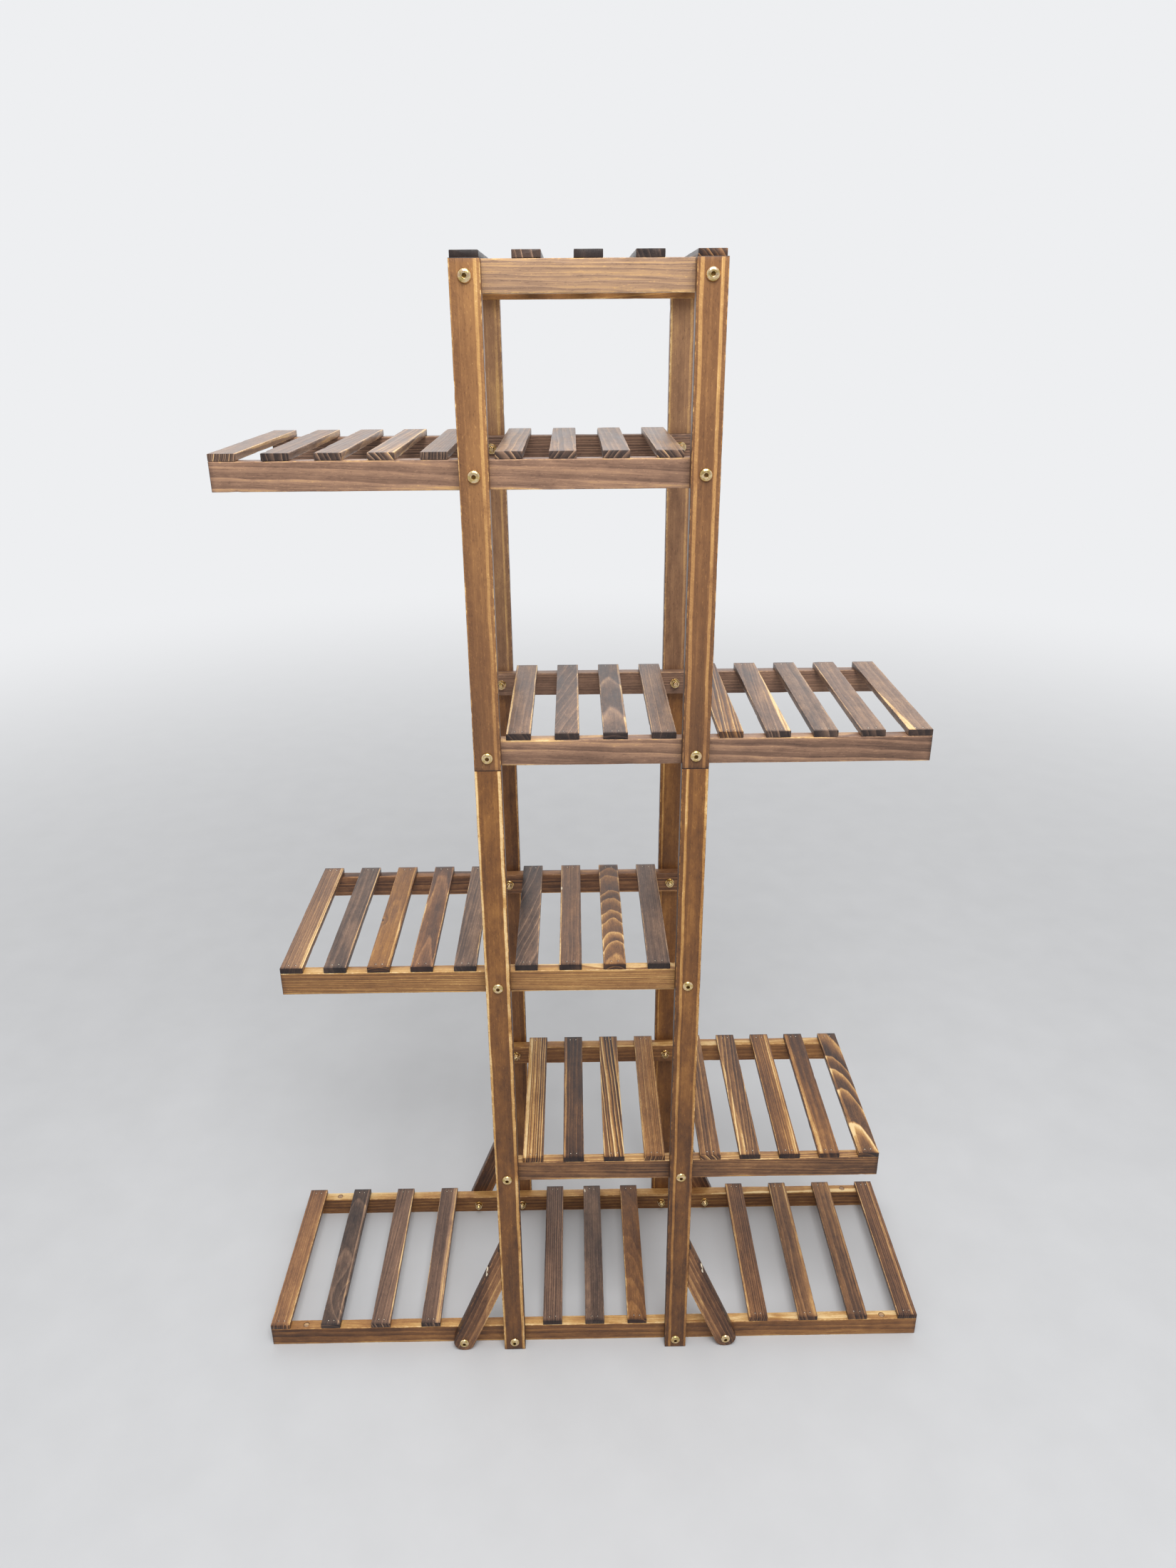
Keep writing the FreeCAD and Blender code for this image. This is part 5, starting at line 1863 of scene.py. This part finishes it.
@dataclass(frozen=True)
class Bolt(Lathe):
    """A flange bolt with a crowned head and a hexagon socket.

    Attributes:
        head: Radius of its head.
        height: Height of its head.
        rim: Straight rim of its head.
        crown_start: Radius of the flat on top.
        crown_steps: Flats from there down to the rim.
        socket_flat: Half its socket, across the flats.
        socket_rim: Radius of the bevel round the socket.
        socket_depth: Depth of the socket.
        shank: Radius of its shank.
        length: From its head's seat to its end.
        pitch: Pitch of its thread.
        thread_depth: Depth of its thread.
        thread_length: Length of its thread.
    """

    head: float = 6.7
    height: float = 3.3
    rim: float = 0.9
    crown_start: float = 2.9
    crown_steps: int = 7
    socket_flat: float = 2.0
    socket_rim: float = 2.44
    socket_depth: float = 2.2
    shank: float = 3.0
    length: float = 40.0
    pitch: float = 1.0
    thread_depth: float = 0.45
    thread_length: float = 14.0

    def shell(self) -> Shell:
        """Turn the bolt, its head's seat at zero and its head upwards.

        Returns:
            Its points and faces.
        """
        crown = []
        for step in range(self.crown_steps, 0, -1):
            turn = step / self.crown_steps * math.pi / 2
            reach = self.crown_start + (self.head - 0.15 - self.crown_start) * math.cos(turn)
            crown.append((self.rim + (self.height - self.rim) * math.sin(turn), reach))
        socket, floor = self.hexagon(self.socket_flat), self.height - self.socket_depth
        end, groove = -self.length, self.shank - self.thread_depth
        start = end + self.thread_length
        rows = [(floor - 0.4, 0.0), (floor, socket), (self.height - 0.2, socket), (self.height, self.socket_rim)]
        rows += crown
        rows += [(self.rim, self.head - 0.1), (self.rim - 0.15, self.head), (0.15, self.head)]
        rows += [(0.0, self.head - 0.2), (0.0, self.shank), (start, self.shank), (start - 0.5, groove)]
        rows += self.threaded(start - 1.0, end + 1.0, self.shank, self.thread_depth, self.pitch)
        rows += [(end + 0.8, groove), (end, self.shank - 0.8), (end, 0.0)]
        return flipped(turned(rows, self.segments))


@dataclass(frozen=True)
class Washer(Lathe):
    """A flat washer.

    Attributes:
        inner: Radius of its hole.
        outer: Its radius.
        thickness: Its thickness.
        edge: Size of its bevels.
    """

    inner: float = 3.2
    outer: float = 6.2
    thickness: float = 1.2
    edge: float = 0.2

    def shell(self) -> Shell:
        """Turn the washer, its seat at zero.

        Returns:
            Its points and faces.
        """
        inner, outer, edge, top = self.inner, self.outer, self.edge, self.thickness
        rows = [(0.0, inner), (0.0, outer - edge), (edge, outer), (top - edge, outer), (top, outer - edge)]
        rows += [(top, inner + edge), (top - edge, inner), (0.0, inner)]
        return turned(rows, self.segments)


@dataclass(frozen=True)
class Nut(Lathe):
    """A hexagon nut with its corners bevelled.

    Attributes:
        thickness: Its thickness.
        flat: Half its size across the flats.
        bore: Radius of its hole.
        bevel: Size of the bevel round the outer end of its hole.
        corners: Rows of its corners' bevel: distance from its face, and radius.
    """

    thickness: float = 5.0
    flat: float = 5.0
    bore: float = 3.05
    bevel: float = 0.5
    corners: tuple[tuple[float, float], ...] = ((0.0, 4.85), (0.3, 5.2), (0.7, 5.75))

    def shell(self) -> Shell:
        """Turn the nut, its seat at zero.

        Returns:
            Its points and faces.
        """
        side, top = self.hexagon(self.flat), self.thickness
        rows: list[tuple[float, Row]] = [(0.0, self.bore)]
        rows += [(height, np.minimum(side, reach)) for height, reach in self.corners]
        rows += [(top - height, np.minimum(side, reach)) for height, reach in reversed(self.corners)]
        rows += [(top, self.bore + self.bevel), (top - self.bevel, self.bore), (0.0, self.bore)]
        return turned(rows, self.segments)


@dataclass(frozen=True)
class Dowel(Lathe):
    """A fluted dowel.

    Attributes:
        radius: Its radius.
        half: Half its length.
        bevel: Length of the bevel at its ends.
        tip: Radius of its ends.
        flutes: Count of its flutes.
        flute_depth: Depth of its flutes.
        flute_level: Where the wave round it is above this level, there is a flute.
    """

    radius: float = 3.0
    half: float = 15.0
    bevel: float = 1.0
    tip: float = 2.4
    flutes: int = 12
    flute_depth: float = 0.15
    flute_level: float = 0.3

    def shell(self) -> Shell:
        """Turn the dowel about its middle.

        Returns:
            Its points and faces.
        """
        fluted = self.radius - self.flute_depth * (np.cos(self.turns * self.flutes) > self.flute_level)
        half, straight = self.half, self.half - self.bevel
        rows = [(-half, 0.0), (-half, self.tip), (-straight, fluted)]
        rows += [(straight, fluted), (half, self.tip), (half, 0.0)]
        return turned(rows, self.segments)


@dataclass(frozen=True)
class WoodScrew(Lathe):
    """A countersunk wood screw with a cross recess.

    Attributes:
        head: Radius of its head.
        cone: Height of its head's cone.
        shank: Radius of its shank and over its thread.
        core: Radius where its thread begins.
        plain: From its head's top to the end of the plain shank.
        pitch: Pitch of its thread.
        thread_depth: Depth of its thread.
        thread_end: From its head's top to the end of the thread.
        tip: Radius where its point begins.
        length: Its length.
        cross_core: Radius of the recess between its arms.
        cross_arm: How much further the recess's arms reach.
        cross_depth: Depth of the recess.
    """

    head: float = 4.0
    cone: float = 2.4
    shank: float = 2.0
    core: float = 1.35
    plain: float = 12.0
    pitch: float = 1.8
    thread_depth: float = 0.6
    thread_end: float = 29.0
    tip: float = 1.2
    length: float = 33.0
    cross_core: float = 0.7
    cross_arm: float = 1.5
    cross_depth: float = 1.7

    def shell(self) -> Shell:
        """Turn the screw, its head's top at zero and its head upwards.

        Returns:
            Its points and faces.
        """
        cross = self.cross_core + self.cross_arm * np.abs(np.cos(self.turns * 2)) ** 5
        rows = [(-self.cross_depth, 0.0), (0.1 - self.cross_depth, cross * 0.6), (0.0, cross)]
        rows += [(0.0, self.head - 0.1), (-0.2, self.head), (-self.cone, self.shank)]
        rows += [(-self.plain, self.shank), (-self.plain - 0.6, self.core)]
        rows += self.threaded(-self.plain - 1.0, -self.thread_end, self.shank, self.thread_depth, self.pitch)
        rows += [(-self.thread_end - 1.0, self.tip), (-self.length, 0.0)]
        return flipped(turned(rows, self.segments))


@dataclass
class Fixings:
    """Bolts with their washers and nuts, the dowels of the post joints and the braces' screws.

    Attributes:
        bolt: A bolt.
        washer: A washer.
        nut: A nut.
        dowel: A dowel.
        screw: A brace's screw.
        grip: Wood between a bolt's head and its washer.
        recess_radius: Points nearer than this to a fixing's axis may lie in its recess, whose colour gets painted
            shade.
        recess_floor: Height above which they do.
        sharp_angle: Edges sharper than this stay sharp, in degrees.
    """

    bolt: Bolt = Bolt()
    washer: Washer = Washer()
    nut: Nut = Nut()
    dowel: Dowel = Dowel()
    screw: WoodScrew = WoodScrew()
    grip: float = 30.0
    recess_radius: float = 2.32
    recess_floor: float = -1.75
    sharp_angle: float = 32.0

    def place_all(
        self, name: str, shape: Shell, spots: Sequence[tuple[Vector, Vector]], seed: int
    ) -> bpy.types.Object:
        """Set one shape at many spots, each turned by chance.

        Args:
            name: Name of the piece.
            shape: Points in millimetres, and faces.
            spots: Where each goes, in metres, and where its axis points.
            seed: Number that the turns start from.

        Returns:
            All of them as one piece.
        """
        draw = np.random.default_rng(seed)
        shells = [stood(shape, spot, axis, draw.uniform(0, 360)) for spot, axis in spots]
        piece = new_piece(name, *gather(shells))
        smooth(piece, self.sharp_angle)
        points = shape[0]
        # Mark the points in the recess, which the zinc finish paints with shade.
        near_axis = np.hypot(points[:, 0], points[:, 1]) < self.recess_radius
        recess = near_axis & (points[:, 2] > self.recess_floor)
        layer = piece.data.attributes.new("recess", "FLOAT_VECTOR", "POINT")
        layer.data.foreach_set("vector", np.tile(np.repeat(recess.astype(np.float32), 3), len(spots)))
        return piece

    def build(self, bolts: Sequence[tuple[Vector, int]]) -> None:
        """Make every fixing.

        Args:
            bolts: Where each bolt's head sits, in metres, and the sign of its face.
        """
        zinc = YELLOW_ZINC.material()
        past_washer = self.grip + self.washer.thickness
        heads = [(spot, DEPTH * sign) for spot, sign in bolts]
        washers = [(spot - DEPTH * sign * self.grip * MM, DEPTH * -sign) for spot, sign in bolts]
        nuts = [(spot - DEPTH * sign * past_washer * MM, DEPTH * -sign) for spot, sign in bolts]
        screws, dowels = [], []
        for face in FACES:
            for side, sign in SIDES.items():
                screws.append((Braces.screw_spot(face, side), ACROSS * sign))
                post = f"{face}_{side}_lower_post"
                joint = middle(post)
                joint.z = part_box(post)[1].z
                for shift in SIDES.values():
                    dowels.append((joint + ACROSS * shift * HARDWARE.dowel_half_pitch * MM, UP))
        for name, shape, spots, node, seed in (
            ("bolts", self.bolt, heads, "flange_bolts", 5),
            ("washer_rings", self.washer, washers, "washers", 12),
            ("nuts", self.nut, nuts, "hexagon_nuts", 4),
            ("brace_screw_set", self.screw, screws, "brace_screws", 3),
        ):
            settle(self.place_all(name, shape.shell(), spots, seed), zinc, [node])
        pins = self.place_all("dowel_pins", self.dowel.shell(), dowels, 4)
        count = len(pins.data.vertices) // len(dowels)
        look, sides = Look(Tone.RAW, Cut.FINE), (2 * self.dowel.half, 2 * self.dowel.radius, 2 * self.dowel.radius)
        boards = [Board(spot, UP, ACROSS, *sides, look, DOWEL_SEED + k) for k, (spot, _) in enumerate(dowels)]
        mark(pins, boards, [count] * len(dowels))
        settle(pins, DOWEL_WOOD.material(), ["splice_dowels"])


@dataclass
class Studio:
    """Floor, light and camera.

    Attributes:
        camera_place: Where the camera stands, in metres.
        pitch: How far it looks down, in degrees.
        yaw: How far it looks to the right, in degrees.
        roll: How far it is turned about its own axis, in degrees.
        lens: Focal length for a sensor whose long side is 36 mm.
        floor_radius: Radius of the floor, in metres.
        floor_points: Points round it.
        floor_finish: What it is laid with.
        lamp_place: Where the soft square lamp hangs, in metres.
        lamp_target: What it points at, in metres.
        lamp_side: Length of its side, in metres.
        lamp_power: Its power in watts.
        world_strength: Strength of the light from all round.
        brighter_side: Direction that more light comes from, and how much more.
        mirror_contrast: How much stronger that difference is in what the metal mirrors.
    """

    camera_place: tuple[float, float, float] = (-0.01687, -1.23827, 1.35155)
    pitch: float = 23.2177
    yaw: float = 0.661
    roll: float = -0.4257
    lens: float = 24.522
    floor_radius: float = 14.0
    floor_points: int = 96
    floor_finish: FloorFinish = FloorFinish("pale_floor", paint(206, 207, 209), BACKGROUND, 0.9, 4.8)
    lamp_place: tuple[float, float, float] = (0.15, -1.35, 2.75)
    lamp_target: tuple[float, float, float] = (0.0, 0.0, 0.8)
    lamp_side: float = 1.3
    lamp_power: float = 52.0
    world_strength: float = 0.58
    brighter_side: tuple[float, float, float] = (0.0, 0.30, 0.25)
    mirror_contrast: float = 1.5

    def build(self) -> None:
        """Set the stage."""
        self.lay_floor()
        self.light_room()
        self.hang_lamp()
        self.stand_camera()
        bpy.context.scene.view_settings.view_transform = "Standard"

    def lay_floor(self) -> None:
        """Lay the floor as a wide disc."""
        count = self.floor_points
        turns = np.arange(count) * 2 * math.pi / count
        rings = [np.stack((np.cos(turns) * r, np.sin(turns) * r, turns * 0), axis=1) for r in (1.0, self.floor_radius)]
        faces = [tuple(range(count))]
        faces += [(k, count + k, count + (k + 1) % count, (k + 1) % count) for k in range(count)]
        floor = new_piece("floor", np.concatenate(rings), faces)
        floor.data.materials.append(self.floor_finish.material())

    def light_room(self) -> None:
        """Fill the room with soft white light that varies a little with its direction."""
        world = bpy.data.worlds.new("studio")
        world.use_nodes = True
        sketch = NodeSketch(world.node_tree)
        direction = sketch.node("TexCoord", {}).outputs["Generated"]
        toward = sketch.node("VectorMath", {0: direction, 1: self.brighter_side}, operation="DOT_PRODUCT")
        toward = toward.outputs["Value"]
        rays = sketch.node("LightPath", {}).outputs
        mirrored = sketch.math("MAXIMUM", rays["Is Glossy Ray"], rays["Is Transmission Ray"])
        strength = sketch.line(toward, self.world_strength, self.world_strength)
        lit = sketch.node("Background", {"Color": paint(255, 255, 255), "Strength": strength})
        contrast = sketch.line(sketch.math("MULTIPLY", toward, mirrored), self.mirror_contrast, 1.0)
        seen = sketch.node("Background", {"Color": BACKGROUND, "Strength": contrast})
        share = sketch.math("MAXIMUM", rays["Is Camera Ray"], mirrored)
        mix = sketch.node("MixShader", {0: share, 1: lit.outputs[0], 2: seen.outputs[0]})
        sketch.feed(sketch.tree.nodes["World Output"].inputs["Surface"], mix.outputs[0])
        bpy.context.scene.world = world

    def hang_lamp(self) -> None:
        """Hang one soft square lamp."""
        data = bpy.data.lights.new("ceiling_lamp", "AREA")
        data.shape = "SQUARE"
        data.size = self.lamp_side
        data.energy = self.lamp_power
        lamp = bpy.data.objects.new("ceiling_lamp", data)
        lamp.location = self.lamp_place
        aim = Vector(self.lamp_target) - Vector(self.lamp_place)
        lamp.rotation_euler = aim.to_track_quat("-Z", "Y").to_euler()
        bpy.context.scene.collection.objects.link(lamp)

    def stand_camera(self) -> None:
        """Stand the camera where the photograph was taken from."""
        pitch, yaw, roll = (math.radians(angle) for angle in (self.pitch, self.yaw, self.roll))
        ahead = Vector((math.sin(yaw), math.cos(yaw), 0))
        right = Vector((math.cos(yaw), -math.sin(yaw), 0))
        forward = ahead * math.cos(pitch) - UP * math.sin(pitch)
        above = ahead * math.sin(pitch) + UP * math.cos(pitch)
        tilted_right = right * math.cos(roll) + above * math.sin(roll)
        tilted_up = above * math.cos(roll) - right * math.sin(roll)
        data = bpy.data.cameras.new("camera")
        data.sensor_width = 36.0
        data.lens = self.lens
        camera = bpy.data.objects.new("camera", data)
        turn = Matrix((tilted_right, tilted_up, -forward)).transposed()
        camera.matrix_world = Matrix.Translation(self.camera_place) @ turn.to_4x4()
        bpy.context.scene.collection.objects.link(camera)
        bpy.context.scene.camera = camera


def bolt_seats(post_middles: list[float], foot_middles: list[float]) -> list[tuple[Vector, int]]:
    """Find where every bolt's head sits.

    Args:
        post_middles: Places across, in metres, of the posts' centre lines.
        foot_middles: Places across, in metres, of the braces' feet.

    Returns:
        Each seat in metres, with the sign of its face.
    """
    seats = []
    for face, sign in FACES.items():
        low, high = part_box(f"{face}_left_lower_post")
        outer = high.y if sign > 0 else low.y
        for tier in TIERS:
            height = middle(Rails.node(tier, face)).z
            places = post_middles + (foot_middles if tier == TIERS[0] else [])
            seats += [(Vector((place, outer, height)), sign) for place in places]
    return seats


def main() -> None:
    """Build the stand and its stage."""
    logging.basicConfig(level=logging.INFO, format="%(name)s: %(message)s")
    braces = Braces()
    heights = {tier: middle(Rails.node(tier, "front")).z for tier in TIERS}
    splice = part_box("front_left_lower_post")[1].z
    rail_middles = {
        "lower": [height for height in heights.values() if height < splice],
        "upper": [height for height in heights.values() if height > splice],
    }
    post_middles = [middle(f"front_{side}_lower_post").x for side in SIDES]
    foot_middles = [braces.foot("front", side).x for side in SIDES]
    Posts().build(rail_middles)
    plugs = Plugs()
    Rails().build(post_middles, foot_middles, plugs)
    braces.build()
    plugs.build()
    Decks().build()
    Fixings().build(bolt_seats(post_middles, foot_middles))
    Studio().build()


if __name__ == "__main__":
    main()
